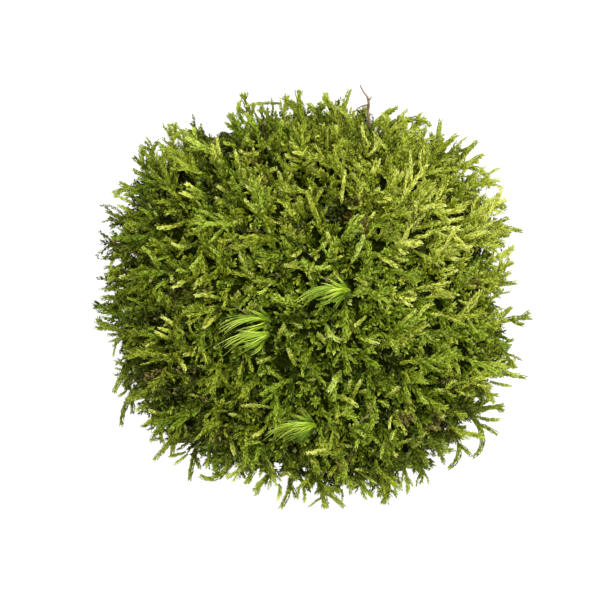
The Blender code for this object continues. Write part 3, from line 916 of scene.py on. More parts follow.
@dataclass(frozen=True)
class SideShoots:
    """How side shoots leave a frond. A pair is a mean and a spread, or the least and the most.

    Attributes:
        points: How many points one has.
        first: The share of the frond where they start.
        span: The share of the frond that carries them.
        within: Where one may stand in its part of that.
        angle: The angle between one and the frond, in degrees.
        lift: How far it lifts out of the frond's plane.
        bend: How far it bends forward, in degrees.
        growing: Its length near the frond's root and how fast that grows, as shares.
        fading: Its length near the tip, drawn back to the root, and how fast that fades.
        lengths: How much its length varies.
        shortest: Its least length.
        hook: How much of the bend comes near its tip.
        tone: What is added to the frond's tone.
        leaves: How much the size of its leaves varies.
        taper: Its leaves' length at its root, at its largest and at its tip, as shares.
        point: The radius of its tip, as a share of that of its root.
        bare: The share of it at its root that has no leaves.
    """

    points: int = 5
    first: float = 0.12
    span: float = 0.75
    within: tuple[float, float] = (0.2, 0.8)
    angle: tuple[float, float] = (40.0, 9.0)
    lift: tuple[float, float] = (0.12, 0.2)
    bend: tuple[float, float] = (34.0, 16.0)
    growing: tuple[float, float] = (0.7, 1.5)
    fading: tuple[float, float] = (1.65, 1.15)
    lengths: tuple[float, float] = (0.7, 1.3)
    shortest: float = 1.6
    hook: float = 1.4
    tone: tuple[float, float] = (0.01, 0.04)
    leaves: tuple[float, float] = (0.85, 1.1)
    taper: tuple[float, float, float] = (0.9, 1.0, 0.45)
    point: float = 0.15
    bare: float = 0.02


@dataclass
class Mass:
    """The fronds of the mass, storey by storey.

    Attributes:
        bun: The body that they grow on.
        habit: How the main stems differ.
        side: How side shoots leave them.
        floor_gap: How far every stem stays above the floor.
        lowest: The lowest direction that carries a root.
        candidates: How many places are tried for roots.
        squarest: The least cosine between a direction and the skin's normal.
        green: The share of shoots that have the greener colours.
        gap_tone: The dark tone of shoots deep in the gaps, painted shade.
        held: The share of the outline inside which other shoots hold a side shoot.
        wither: How far into a withered patch a shoot dies, as a chance.
        brown: The tones of dead shoots.
    """

    bun: Bun
    habit: Habit = Habit()
    side: SideShoots = SideShoots()
    floor_gap: float = 1.7
    lowest: float = -0.26
    candidates: int = 16000
    squarest: float = 0.1
    green: float = 0.25
    gap_tone: float = 0.28
    held: float = 0.9
    wither: tuple[float, float] = (0.1, 1.3)
    brown: tuple[float, float] = (0.06, 0.2)

    def roots(self, storey: Storey, rng: np.random.Generator) -> np.ndarray:
        """Directions spread over the bun, no two nearer than the storey's spacing.

        Candidates come from a golden spiral in even steps of height. They are tried in a random order,
        weighed by the skin's area that each stands for, and kept if no earlier one is near.

        Args:
            storey: The storey, for its spacing.
            rng: The source of the order.

        Returns:
            The unit directions that are kept.
        """
        number = np.arange(self.candidates)
        z = 1 - (1 - self.lowest) * (number + 0.5) / self.candidates
        angle = number * math.pi * (3 - math.sqrt(5))
        flat = np.sqrt(1 - z**2)
        direction = np.stack([flat * np.cos(angle), flat * np.sin(angle), z], 1)
        point, normal = self.bun.point(direction), self.bun.normal(direction)
        from_middle = point - UP * self.bun.widest
        area = (from_middle**2).sum(1) / np.maximum((direction * normal).sum(1), self.squarest)
        order = np.argsort(rng.exponential(1, len(z)) / area)
        kept: list[int] = []
        for candidate in order:
            if not kept or ((point[kept] - point[candidate]) ** 2).sum(1).min() > storey.spacing**2:
                kept.append(candidate)
        return direction[kept]

    @staticmethod
    def from_patches(place: np.ndarray, feature: str) -> np.ndarray:
        """The sum of what the patches add, each fading as a bell curve of the distance.

        Args:
            place: The places.
            feature: The name of the patches' field.

        Returns:
            The sum for each place.
        """
        pixel = to_photo(place)
        total = np.zeros(len(place))
        for patch in PATCHES:
            away = ((pixel - (patch.x, patch.y)) ** 2).sum(1)
            total += getattr(patch, feature) * np.exp(-away / (2 * patch.reach**2))
        return total

    def stems(self, storey: Storey, rng: np.random.Generator) -> Axes:
        """The main stems of a storey.

        A stem starts below the skin in a direction between the skin's normal and the outward heading,
        and turns down towards the heading, so that the fronds lie over each other like thatch.

        Args:
            storey: The storey's sizes.
            rng: The source of its differences.

        Returns:
            The stems.
        """
        habit = self.habit
        direction = self.roots(storey, rng)
        point, normal = self.bun.point(direction), self.bun.normal(direction)
        count = len(point)
        level = point * (1, 1, 0)
        level /= np.linalg.norm(level, axis=1, keepdims=True) + habit.middle
        outward = unit(level + rng.normal(0, habit.stray, (count, 3)) * (1, 1, 0))
        wander = self.from_patches(point, "turn") + rng.normal(0, storey.wander, count)
        outward = turned(outward, np.broadcast_to(UP, outward.shape), wander)
        steep = 1 - normal[:, 2]
        outward = outward + UP * (rng.normal(*habit.tilt, count) * steep)[:, None]
        heading = unit(outward - habit.hug * (outward * normal).sum(1, keepdims=True) * normal)
        lie = 1 / (1 + self.from_patches(point, "lie"))
        vigour = rng.uniform(*habit.vigour, count)
        first, last = (unit(heading + normal * (rise * lie * vigour)[:, None]) for rise in storey.rise)
        axis = unit(np.cross(first, last))
        turn = np.degrees(np.arccos(np.clip((first * last).sum(1), -1, 1)))
        sway = rng.normal(0, habit.sway, count)
        axis = unit(axis * turn[:, None] + normal * sway[:, None])
        turn = np.hypot(turn, sway)
        stretch = (1 + self.from_patches(point, "length")) * (1 - habit.short * steep)
        length = rng.uniform(*storey.length, count) * stretch
        # Shoots deep in the gaps get painted shade; those in withered patches turn brown.
        tone = storey.tone + self.from_patches(point, "tone") + rng.normal(0, storey.scatter, count)
        # Steep sides darker: partly older shoots, partly painted shade.
        tone = np.clip(tone - habit.dark * steep, *habit.tones)
        root = point - normal * storey.depth
        path = self.above_floor(paths(root, first, axis, turn, length, storey.points, habit.hook))
        leaf = storey.leaf * rng.uniform(*habit.leaves, count)
        return Axes(path, unit(normal + habit.upturned * UP), leaf, tone, self.greener(point, rng))

    def above_floor(self, path: np.ndarray) -> np.ndarray:
        """The points, lifted where they are nearer to the floor than the gap."""
        return np.maximum(path, (-np.inf, -np.inf, self.floor_gap))

    def greener(self, places: np.ndarray, rng: np.random.Generator) -> np.ndarray:
        """1 for the places whose shoots take the greener colours, drawn by the patches' shares."""
        share = self.green + self.from_patches(places, "green")
        return (rng.uniform(0, 1, len(places)) < share).astype(float)

    def twigs(self, stems: Axes, storey: Storey, rng: np.random.Generator) -> tuple[Axes, np.ndarray]:
        """The side shoots of fronds, left and right in turn in the frond's plane.

        A side shoot leaves at about half of a right angle and bends forward. It is longest near a third
        of the frond and shorter towards the tip.

        Args:
            stems: The main stems.
            storey: The storey's sizes.
            rng: The source of their differences.

        Returns:
            The side shoots, and the number of the stem that each grows from.
        """
        side = self.side
        lengths = stems.lengths()
        counts = np.maximum((lengths * side.span / storey.twigs).astype(int), 1)
        stem, number = numbered(counts)
        count = len(stem)
        share = side.first + side.span * (number + rng.uniform(*side.within, count)) / counts[stem]
        place, forward = stems.at(stem, share)
        upper = square_to(stems.upper[stem], forward)
        left_right = np.where(number % 2, 1.0, -1.0)
        first = turned(forward, upper, rng.normal(*side.angle, count) * left_right)
        first = unit(first + upper * rng.normal(*side.lift, count)[:, None])
        bend = -left_right * rng.normal(*side.bend, count)
        (start, growth), (end, fade) = side.growing, side.fading
        length = lengths[stem] * storey.twig * np.minimum(start + growth * share, end - fade * share)
        length = np.maximum(length * rng.uniform(*side.lengths, count), side.shortest)
        path = self.above_floor(paths(place, first, upper, bend, length, side.points, side.hook))
        tone = stems.tone[stem] + rng.normal(*side.tone, count)
        leaf = stems.leaf[stem] * storey.fine * rng.uniform(*side.leaves, count)
        return Axes(path, upper, leaf, tone, stems.green[stem]), stem

    @staticmethod
    def clear(axes: Axes, kind: Clearing) -> np.ndarray:
        """Which stems keep clear of circles on the photograph, seen from above.

        Args:
            axes: The stems.
            kind: Which circles they are.

        Returns:
            A mask of the stems that stay.
        """
        if kind is Clearing.NOTHING:
            return np.ones(len(axes.leaf), bool)
        circles = [np.array(GAPS, float)]
        if kind.value >= Clearing.TUFTS.value:
            circles += [tuft.circles() for tuft in TUFTS]
        if kind is Clearing.STRANDS:
            circles.append(Strands().circles())
        circle = np.concatenate(circles)
        pixel = to_photo(axes.path)[:, 1:, None]
        inside = np.hypot(*np.moveaxis(pixel - circle[:, :2], -1, 0)) < circle[:, 2]
        return ~inside.any((1, 2))

    def grown(self, storey: Storey, rng: np.random.Generator) -> list[tuple[Axes, Foliage]]:
        """The main stems and side shoots of a storey that stay, each with its foliage.

        A side shoot whose stem has gone stays only well inside the outline, where others hold it.

        Args:
            storey: The storey's sizes.
            rng: The source of its differences.

        Returns:
            The main stems, and the side shoots if it has them.
        """
        stems = self.stems(storey, rng)
        stays = self.clear(stems, storey.keeps_clear)
        parts = [(stems.chosen(stays), storey.foliage)]
        if storey.twigs:
            twigs, stem = self.twigs(stems, storey, rng)
            x, y = twigs.path[:, 0, 0], twigs.path[:, 0, 1]
            inside = np.hypot(x, y) < self.held * self.bun.outline(np.degrees(np.arctan2(y, x)))
            kept = self.clear(twigs, storey.keeps_clear) & (stays[stem] | inside)
            shape = {name: getattr(self.side, name) for name in ("taper", "point", "bare")}
            fine = replace(storey.foliage, **shape)
            parts.append((twigs.chosen(kept), fine))
        return parts

    def dimmed(self, axes: Axes) -> Axes:
        """The stems, with a dark tone of painted shade where they show in a gap between the shoots over them.
        """
        return replace(axes, tone=np.where(self.clear(axes, Clearing.GAPS), axes.tone, self.gap_tone))

    def withered(self, axes: Axes, rng: np.random.Generator) -> Axes:
        """The stems, most of those near the middle of a withered patch turned brown.

        Args:
            axes: The stems.
            rng: The source of the browns.

        Returns:
            The stems with their new tones.
        """
        pixel = to_photo(axes.path[:, -2])
        share = np.zeros(len(pixel))
        for x, y, reach in WITHERED:
            share = np.maximum(share, np.exp(-((pixel - (x, y)) ** 2).sum(1) / (2 * reach**2)))
        dead = rng.uniform(*self.wither, len(share)) < share
        return replace(axes, tone=np.where(dead, rng.uniform(*self.brown, len(share)), axes.tone))


class Region(Enum):
    """The regions that the mass is split into: the crown, then the quarters from the right round."""

    CROWN = "crown"
    EAST = "east"
    NORTH = "north"
    WEST = "west"
    SOUTH = "south"


@dataclass
class Carpet:
    """The leafy shoots of the mass, gathered region by region into one piece each.

    Attributes:
        crown: The radius of the crown; the rest is split into four quarters.
        skins: The shoots of each region.
    """

    crown: float = 30.0
    skins: dict[Region, list[Skin]] = field(default_factory=lambda: {region: [] for region in Region})

    def plant(self, axes: Axes, foliage: Foliage, rng: np.random.Generator) -> None:
        """Dresses stems and adds each to the region where its root is.

        Args:
            axes: The stems.
            foliage: How their leaves stand.
            rng: The source of the leaves' small differences.
        """
        x, y = axes.path[:, 0, 0], axes.path[:, 0, 1]
        quarter = (np.degrees(np.arctan2(y, x)) + 45) // 90 % 4
        number = np.where(np.hypot(x, y) < self.crown, 0, quarter + 1)
        for wanted, parts in enumerate(self.skins.values()):
            parts.append(foliage.dressed(axes.chosen(number == wanted), rng))
        log.info("%d shoots planted", len(number))

    def build(self, material: bpy.types.Material) -> None:
        """Makes one piece for each region, all in place of the cushion.

        Args:
            material: The leaves' material.
        """
        for region, parts in self.skins.items():
            piece = Skin.joined(parts).made(f"shoots_{region.value}", material)
            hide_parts("moss_cushion")


@dataclass(frozen=True)
class Frond:
    """One shoot of the rim or crown that has a solid of its own, with the same values as there.

    Attributes:
        name: The solid's name.
        bearing: Where its tip is, in degrees round the clump.
        reach: How far from the middle its tip is.
        height: How high its tip is.
        length: Its length seen from above.
        lean: How far it leans from straight outwards.
        turn: How far it turns on its way.
        rise: How far it climbs.
        branches: How many side branches it has.
        hook: How much of the turn comes near the tip.
        first_side: The side of its first branch.
    """

    name: str
    bearing: float
    reach: float
    height: float
    length: float
    lean: float
    turn: float
    rise: float
    branches: int
    hook: float = 1.4
    first_side: int = 1

    def path(self, points: int) -> np.ndarray:
        """The frond's line: headings that turn by share to the power of hook, moved to end at its tip.

        Args:
            points: How many points it gets.

        Returns:
            The points, root first.
        """
        share = (np.arange(points - 1) + 0.5) / (points - 1)
        heading = np.radians(self.bearing + self.lean + self.turn * share**self.hook)
        steps = np.stack([np.cos(heading), np.sin(heading)], 1) * self.length / (points - 1)
        flat = np.concatenate([np.zeros((1, 2)), np.cumsum(steps, axis=0)])
        angle = math.radians(self.bearing)
        flat += np.array((math.cos(angle), math.sin(angle))) * self.reach - flat[-1]
        rise = self.height - self.rise * (1 - np.linspace(0, 1, points)) ** 2
        return np.column_stack([flat, rise])


FRONDS = (
    Frond("frond_east_bright", 25.6, 58.7, 24, 13, -8, 0, 4, 2),
    Frond("frond_east_long", 17.5, 60.6, 13, 15, -29, 0, 3, 1),
    Frond("frond_northeast_hook", 31.5, 57.0, 17, 19, -16, -128, 3, 1, 2.8),
    Frond("frond_northeast_long", 43.2, 62.3, 19, 15, 2, 0, 4, 1),
    Frond("frond_northeast_short", 48.0, 59.4, 24, 11.5, -8, 0, 4, 1),
    Frond("frond_northeast_upright", 53.7, 60.1, 15, 13, 28, 0, 3, 1),
    Frond("frond_north_arch", 55.4, 56.9, 25, 16, 42, -150, 6, 0),
    Frond("frond_north_thick", 79.4, 57.7, 16, 13, -2, -8, 3, 1),
    Frond("frond_north_small", 94.0, 56.5, 20, 11, 3, 10, 3, 2),
    Frond("frond_north_left", 109.0, 58.9, 15, 12.5, -4, 12, 3, 2),
    Frond("frond_northwest_hook", 127.9, 57.4, 22, 15, -12, -95, 4, 1, 2.2),
    Frond("frond_northwest_crook", 134.4, 59.9, 14, 17, -8, -90, 3, 1, 2.6),
    Frond("frond_northwest_leafy", 139.0, 61.7, 21, 15, -4, -46, 4, 4),
    Frond("frond_west_fan", 152.1, 61.3, 15, 13, 10, 40, 3, 3),
    Frond("frond_west_level", 182.6, 59.7, 14, 12, 2, 0, 2, 2),
    Frond("frond_southwest_bent", 205.7, 59.6, 22, 12, 10, 35, 3, 1),
    Frond("frond_southwest_long", 214.0, 63.0, 13, 17, 8, 45, 3, 1),
    Frond("frond_southwest_spike", 226.1, 62.0, 21, 15, 2, 0, 4, 1),
    Frond("frond_south_stub", 236.4, 60.3, 14, 13, 15, 12, 3, 1),
    Frond("frond_south_arch", 238.2, 57.3, 25, 16, 60, -155, 6, 0),
    Frond("frond_south_thick", 261.9, 58.5, 16, 13, 10, -35, 3, 1),
    Frond("frond_south_star", 274.5, 58.1, 11, 12, 12, 0, 2, 2),
    Frond("frond_south_lean", 278.9, 58.2, 21, 14, 36, 0, 3, 1),
    Frond("frond_south_fan", 290.2, 60.3, 15, 11, -5, 0, 3, 4),
    Frond("frond_southeast_hook", 308.9, 60.0, 21, 14, 10, -110, 4, 1),
    Frond("frond_southeast_crook", 315.3, 62.6, 13, 19, 2, -112, 3, 1, 2.4),
    Frond("frond_east_low", 330.6, 60.5, 16, 14, 19, 25, 3, 2),
    Frond("frond_east_spike", 339.4, 62.9, 14, 15, 9, 0, 2, 1),
    Frond("frond_east_fork", 354.5, 60.4, 20, 16, 35, -35, 4, 3),
    Frond("frond_east_side", 4.0, 56.6, 12, 11, 0, 0, 2, 1),
    Frond("frond_east_tree", 11.0, 54.9, 24, 14, 29, 25, 4, 4),
    Frond("frond_top_right", 42.5, 45.0, 36.5, 9.5, -10, 10, 5, 1),
    Frond("frond_top_long", 29.7, 47.2, 35.0, 14, -32, 8, 4, 2, 1.4, -1),
    Frond("frond_top_middle", 147.7, 24.1, 45.0, 12, 42, 15, 8.5, 2),
    Frond("frond_left_bright", 198.4, 51.7, 31.0, 10, 6, 0, 4, 2),
    Frond("frond_left_upper", 160.3, 46.0, 35.0, 9, -22, 0, 5, 1),
)


@dataclass
class Fronds:
    """The leafy shoots that stand for the fronds' solids.

    Attributes:
        tone: Their mean tone.
        scatter: How much the tone differs.
        leaf: The length of their leaves.
        points: How many points a frond has.
        twig_points: How many a side branch has.
        branch_angle: The angle between a side branch and its frond, in degrees.
        branch_bend: How far a side branch bends forward, in degrees.
        branch_hook: How much of the bend comes near its tip.
        branch_reach: Its length against the frond's.
        branch_fade: The share of the way, past the tip, at which a branch would have no length.
        branch_lift: How far it lifts.
        branch_leaf: The length of its leaves.
        branch_tone: What is added to its tone.
        first_branch: The share of the way where the first is.
        last_branch: The share of the way where the last is.
        foliage: How the leaves stand.
    """

    tone: float = 0.6
    scatter: float = 0.05
    leaf: float = 1.4
    points: int = 15
    twig_points: int = 7
    branch_angle: float = 42.0
    branch_bend: float = 18.0
    branch_hook: float = 1.2
    branch_reach: float = 0.42
    branch_fade: float = 1.25
    branch_lift: float = 0.09
    branch_leaf: float = 1.2
    branch_tone: float = 0.03
    first_branch: float = 0.46
    last_branch: float = 0.84
    foliage: Foliage = field(
        default_factory=lambda: Foliage(
            cut=LeafCut(((0.28, 1.0, 1.0), (0.62, 0.7, 0.8)), wide=0.36, curl=0.15),
            gap=0.21,
            spread=(15.0, 8.0),
            roll=(-40.0, 80.0),
            stem=0.4,
        )
    )

    def twigs(self, frond: Frond, stem: Axes) -> Axes:
        """The side branches of a frond, where its solid has them.

        Args:
            frond: The frond.
            stem: Its main stem.

        Returns:
            The branches.
        """
        number = np.arange(frond.branches)
        steps = max(frond.branches - 1, 1)
        share = self.first_branch + (self.last_branch - self.first_branch) * number / steps
        place, forward = stem.at(np.zeros(len(share), int), share)
        side = frond.first_side * np.where(number % 2, -1.0, 1.0)
        upward = np.broadcast_to(UP, forward.shape)
        first = unit(turned(forward, upward, side * self.branch_angle) + UP * self.branch_lift)
        length = frond.length * self.branch_reach * (self.branch_fade - share)
        bend = -side * self.branch_bend
        path = paths(place, first, upward, bend, length, self.twig_points, self.branch_hook)
        ones = np.ones(len(share))
        return Axes(path, upward, ones * self.branch_leaf, ones * (stem.tone[0] + self.branch_tone), ones * 0)

    def build(self, mass: Mass, material: bpy.types.Material, rng: np.random.Generator) -> None:
        """Makes one leafy piece for each frond.

        Args:
            mass: The mass that they stand out of, for its patches.
            material: The leaves' material.
            rng: The source of the small differences.
        """
        for frond in FRONDS:
            path = frond.path(self.points)[None]
            tone = self.tone + mass.from_patches(path[:, -1], "tone") + rng.normal(0, self.scatter)
            stem = Axes(path, UP[None], np.array([self.leaf]), tone, np.zeros(1))
            parts = (stem, self.twigs(frond, stem)) if frond.branches else (stem,)
            skin = Skin.joined([self.foliage.dressed(part, rng) for part in parts])
            piece = skin.made(frond.name + "_leafy", material)
            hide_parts(frond.name)


@dataclass(frozen=True)
class Bundle:
    """A bundle of one tuft's leaves, in pixels of the photograph from the tuft's base.

    Attributes:
        root: Where its leaves start.
        via: Where they pass half way.
        tip: Where they end.
        spread: How far their tips scatter.
        leaves: How many leaves it has.
        thick: A leaf's radius at its root, in millimetres.
        tone: How pale they are.
    """

    root: tuple[float, float]
    via: tuple[float, float]
    tip: tuple[float, float]
    spread: float
    leaves: int
    thick: float
    tone: float


SWEEP = (
    Bundle((1, 0), (-24, -2), (-50, 11), 3.5, 22, 0.32, 0.5),
    Bundle((0, -1), (-12, -1), (-27, 3), 4.0, 16, 0.36, 0.74),
    Bundle((-1, -3), (-10, -7), (-20, -11), 2.0, 7, 0.24, 0.6),
    Bundle((-1, -5), (-6, -10), (-12, -17), 2.0, 6, 0.22, 0.5),
)
UNDER = (
    Bundle((0, 3), (-18, 8), (-32, 13), 3.0, 8, 0.22, 0.45),
    Bundle((0, 1), (-10, 9), (-16, 16), 4.0, 10, 0.28, 0.2),
)
SECOND_SWEEP = (
    Bundle((1, 4), (-20, 9), (-38, 19), 2.0, 6, 0.18, 0.7),
    Bundle((0, 13), (-22, 16), (-48, 32), 3.0, 14, 0.3, 0.62),
    Bundle((0, 14), (-10, 14), (-25, 19), 4.0, 14, 0.36, 0.76),
    Bundle((-2, 16), (-14, 21), (-33, 29), 4.0, 14, 0.28, 0.5),
    Bundle((-4, 19), (-14, 25), (-24, 26), 4.0, 12, 0.34, 0.64),
    Bundle((2, 12), (8, 18), (5, 30), 1.5, 3, 0.14, 0.3),
)


# A leaf of fork moss and the stem under a tuft, both as bare tubes.
BLADES = Foliage(stem=1.0, point=0.12)
FOOT = Foliage(stem=1.0, point=0.7)


@dataclass(frozen=True)
class ForkTuft:
    """One tuft of fork moss: bundles of long hair-like leaves that sweep one way.

    Attributes:
        name: The solid's name.
        base: The pixel of the photograph where its leaves start.
        bundles: Its bundles.
        heights: How high above the bun's skin the leaves are at the root, half way and at the tip.
        clear: How wide a way it keeps clear, in pixels.
        points: How many points a leaf has.
        fans: How much of the bundle's spread the root, half way and tip take, across and down.
        wavers: How much each of them strays, in pixels.
        lengths: How much of its way a leaf goes.
        uneven: How much the leaves' heights differ.
        scatter: How much their tones differ.
        tones: The ends of the tone.
        across: How far across the leaf map a leaf runs.
        foot: How far below the dome the tuft's stem starts.
        foot_length: How long it is.
        foot_lean: How far it turns, in degrees.
        foot_tone: Its tone.
    """

    name: str
    base: tuple[float, float]
    bundles: tuple[Bundle, ...]
    heights: tuple[float, float, float] = (0.6, 4.6, 3.2)
    clear: float = 4.5
    points: int = 8
    fans: tuple[tuple[float, float], ...] = ((0.0, 0.0), (0.5, 0.5), (0.5, 1.0))
    wavers: tuple[float, float, float] = (0.9, 0.9, 1.2)
    lengths: tuple[float, float] = (0.72, 1.05)
    uneven: float = 0.5
    scatter: float = 0.18
    tones: tuple[float, float] = (0.05, 0.95)
    across: float = 0.9
    foot: float = 3.0
    foot_length: float = 4.5
    foot_lean: float = 20.0
    foot_tone: float = 0.1

    def circles(self) -> np.ndarray:
        """Circles along its bundles that the fronds over it keep clear of, as x, y and radius."""
        places = [place for part in self.bundles for place in (part.via, part.tip)]
        return np.array([(*np.add(self.base, place), self.clear) for place in places], float)

    def bundle(self, bun: Bun, part: Bundle, rng: np.random.Generator) -> Axes:
        """The leaves of one bundle.

        A leaf follows the curve (1 - s)^2 root + 2 s (1 - s) middle + s^2 tip, where the middle is
        placed so that the curve passes its half-way place, in the photograph and in height.

        Args:
            bun: The body, for its height.
            part: The bundle.
            rng: The source of the leaves' differences.

        Returns:
            The leaves.
        """
        count = part.leaves
        scatter = rng.normal(0, part.spread, (count, 1))
        root, via, tip = (
            np.array(place) + scatter * fan + rng.normal(0, waver, (count, 2))
            for place, fan, waver in zip((part.root, part.via, part.tip), self.fans, self.wavers)
        )
        stop = rng.uniform(*self.lengths, (count, 1, 1))
        share = np.linspace(0, 1, self.points)[None, :, None] * stop
        weights = [(1 - share) ** 2, 2 * share * (1 - share), share**2]
        corners = [value[:, None] for value in (root, 2 * via - (root + tip) / 2, tip)]
        pixel = np.array(self.base) + sum(weight * corner for weight, corner in zip(weights, corners))
        low, half, high = self.heights
        lift = [low, 2 * half - (low + high) / 2, high]
        above = sum(weight * value for weight, value in zip(weights, lift))[..., 0]
        above = above + rng.normal(0, self.uneven, count)[:, None]
        flat = from_photo(pixel)
        height = bun.height(flat[..., 0], flat[..., 1]) + above
        tone = np.clip(part.tone + rng.normal(0, self.scatter, count), *self.tones)
        upper = np.broadcast_to(UP, (count, 3))
        return Axes(from_photo(pixel, height), upper, np.full(count, part.thick), tone, np.zeros(count))

    def build(self, bun: Bun, material: bpy.types.Material, rng: np.random.Generator) -> None:
        """Makes the tuft from its bundles and a short stem under them.

        Args:
            bun: The body that it stands on.
            material: The leaves' material.
            rng: The source of the leaves' differences.
        """
        skins = [BLADES.stems(self.bundle(bun, part, rng), self.across) for part in self.bundles]
        foot = from_photo(np.array(self.base))
        foot[2] = float(bun.height(foot[0], foot[1])) - self.foot
        sideways, one = np.array([[1.0, 0.0, 0.0]]), np.ones(1)
        stub = paths(foot[None], UP[None], sideways, one * self.foot_lean, one * self.foot_length, 4)
        skins.append(FOOT.stems(Axes(stub, sideways, one, one * self.foot_tone, one * 0)))
        piece = Skin.joined(skins).made(self.name + "_leaves", material)
        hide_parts(self.name)


TUFTS = (
    ForkTuft("fork_moss_main", (268, 321), SWEEP + SECOND_SWEEP),
    ForkTuft("fork_moss_lower", (314, 427), SWEEP + UNDER),
    ForkTuft("fork_moss_middle", (348, 292), SWEEP + UNDER),
)


class Socket:
    """A shader value that can be written into sums; colours and vectors have methods of their own."""

    def __init__(self, tree: bpy.types.NodeTree, output: bpy.types.NodeSocket) -> None:
        """Keeps the tree and the output that holds the value."""
        self.tree = tree
        self.output = output

    def sum_of(self, operation: str, one: Socket | float, two: Socket | float) -> Socket:
        """One Math node on two values."""
        return node(self.tree, "ShaderNodeMath", {"operation": operation}, {0: one, 1: two}).out()

    def __add__(self, other: Socket | float) -> Socket:
        """The sum."""
        return self.sum_of("ADD", self, other)

    __radd__ = __add__

    def __sub__(self, other: Socket | float) -> Socket:
        """The difference."""
        return self.sum_of("SUBTRACT", self, other)

    def __rsub__(self, other: Socket | float) -> Socket:
        """The difference the other way round."""
        return self.sum_of("SUBTRACT", other, self)

    def __mul__(self, other: Socket | float) -> Socket:
        """The product."""
        return self.sum_of("MULTIPLY", self, other)

    __rmul__ = __mul__


class Node:
    """A shader node, with its outputs as sockets."""

    def __init__(self, tree: bpy.types.NodeTree, made: bpy.types.Node) -> None:
        """Keeps the tree and the node."""
        self.tree = tree
        self.made = made

    def out(self, name: int | str = 0) -> Socket:
        """One of the node's outputs."""
        return Socket(self.tree, self.made.outputs[name])


def node(tree: bpy.types.NodeTree, kind: str, settings: dict, inputs: dict) -> Node:
    """Adds a node.

    Args:
        tree: The tree that it goes into.
        kind: The node's type.
        settings: Its settings, with "stops" for a ramp's positions and colours.
        inputs: The values or links of its sockets.

    Returns:
        The new node.
    """
    made = tree.nodes.new(kind)
    for name, value in settings.items():
        if name == "stops":
            elements = made.color_ramp.elements
            for _ in value[2:]:
                elements.new(0.5)
            for element, (position, colour) in zip(elements, value):
                element.position, element.color = position, colour
        else:
            setattr(made, name, value)
    for name, value in inputs.items():
        if isinstance(value, Socket):
            tree.links.new(value.output, made.inputs[name])
        else:
            made.inputs[name].default_value = value
    return Node(tree, made)


def mixed(tree: bpy.types.NodeTree, share: Socket | float, one: Socket | tuple, two: Socket | tuple,
          blend: str = "MIX") -> Socket:
    """Mixes two colours by a share.

    Args:
        tree: The tree.
        share: 0 for the first colour, 1 for the second.
        one: The first colour.
        two: The second colour.
        blend: The way that they are mixed.

    Returns:
        The mixed colour.
    """
    settings = {"data_type": "RGBA", "blend_type": blend}
    return node(tree, "ShaderNodeMix", settings, {0: share, 6: one, 7: two}).out(2)


def ramp(value: Socket, stops: tuple[tuple[float, tuple], ...]) -> Socket:
    """A colour ramp over a value, from positions and screen colours."""
    lit = [(position, linear(colour)) for position, colour in stops]
    return node(value.tree, "ShaderNodeValToRGB", {"stops": lit}, {0: value}).out()


def remapped(value: Socket, ends: tuple[float, ...], kind: str = "LINEAR") -> Socket:
    """The value taken from between the first two numbers to between the last two, else to 0 and 1."""
    inputs = {0: value, **dict(enumerate(ends, 1))}
    return node(value.tree, "ShaderNodeMapRange", {"interpolation_type": kind}, inputs).out()


def noise(place: Socket, scale: float, detail: float, dimensions: str = "3D") -> Socket:
    """Noise of a scale at places."""
    inputs = {"Vector": place, "Scale": scale, "Detail": detail}
    return node(place.tree, "ShaderNodeTexNoise", {"noise_dimensions": dimensions}, inputs).out()


@dataclass(frozen=True)
class Finish:
    """The base of every finish.

    Attributes:
        name: The material's name.
        specular: How glossy it is.
        glow: How much white it glows.
        bump: The strength of its bumps.
        depth: How deep they are, in metres.
    """

    name: str = "finish"
    specular: float = 0.14
    glow: float = 0.0
    bump: float = 0.6
    depth: float = 0.4 * MM

    def colours(self, tree: bpy.types.NodeTree) -> tuple[Socket, Socket, Socket | None]:
        """The colour, roughness and height of the surface; each finish gives its own."""
        raise NotImplementedError

    def made(self) -> bpy.types.Material:
        """Makes the material.

        Returns:
            The new material, with one Principled shader.
        """
        material = bpy.data.materials.new(self.name)
        material.use_nodes = True
        tree = material.node_tree
        tree.nodes.clear()
        colour, rough, height = self.colours(tree)
        inputs: dict = {"Base Color": colour, "Specular IOR Level": self.specular, "Roughness": rough}
        if self.glow:
            inputs |= {"Emission Color": (1.0, 1.0, 1.0, 1.0), "Emission Strength": self.glow}
        if height is not None:
            bumps = {"Strength": self.bump, "Distance": self.depth, "Height": height}
            inputs["Normal"] = node(tree, "ShaderNodeBump", {}, bumps).out()
        shader = node(tree, "ShaderNodeBsdfPrincipled", {}, inputs)
        node(tree, "ShaderNodeOutputMaterial", {}, {"Surface": shader.out()})
        return material


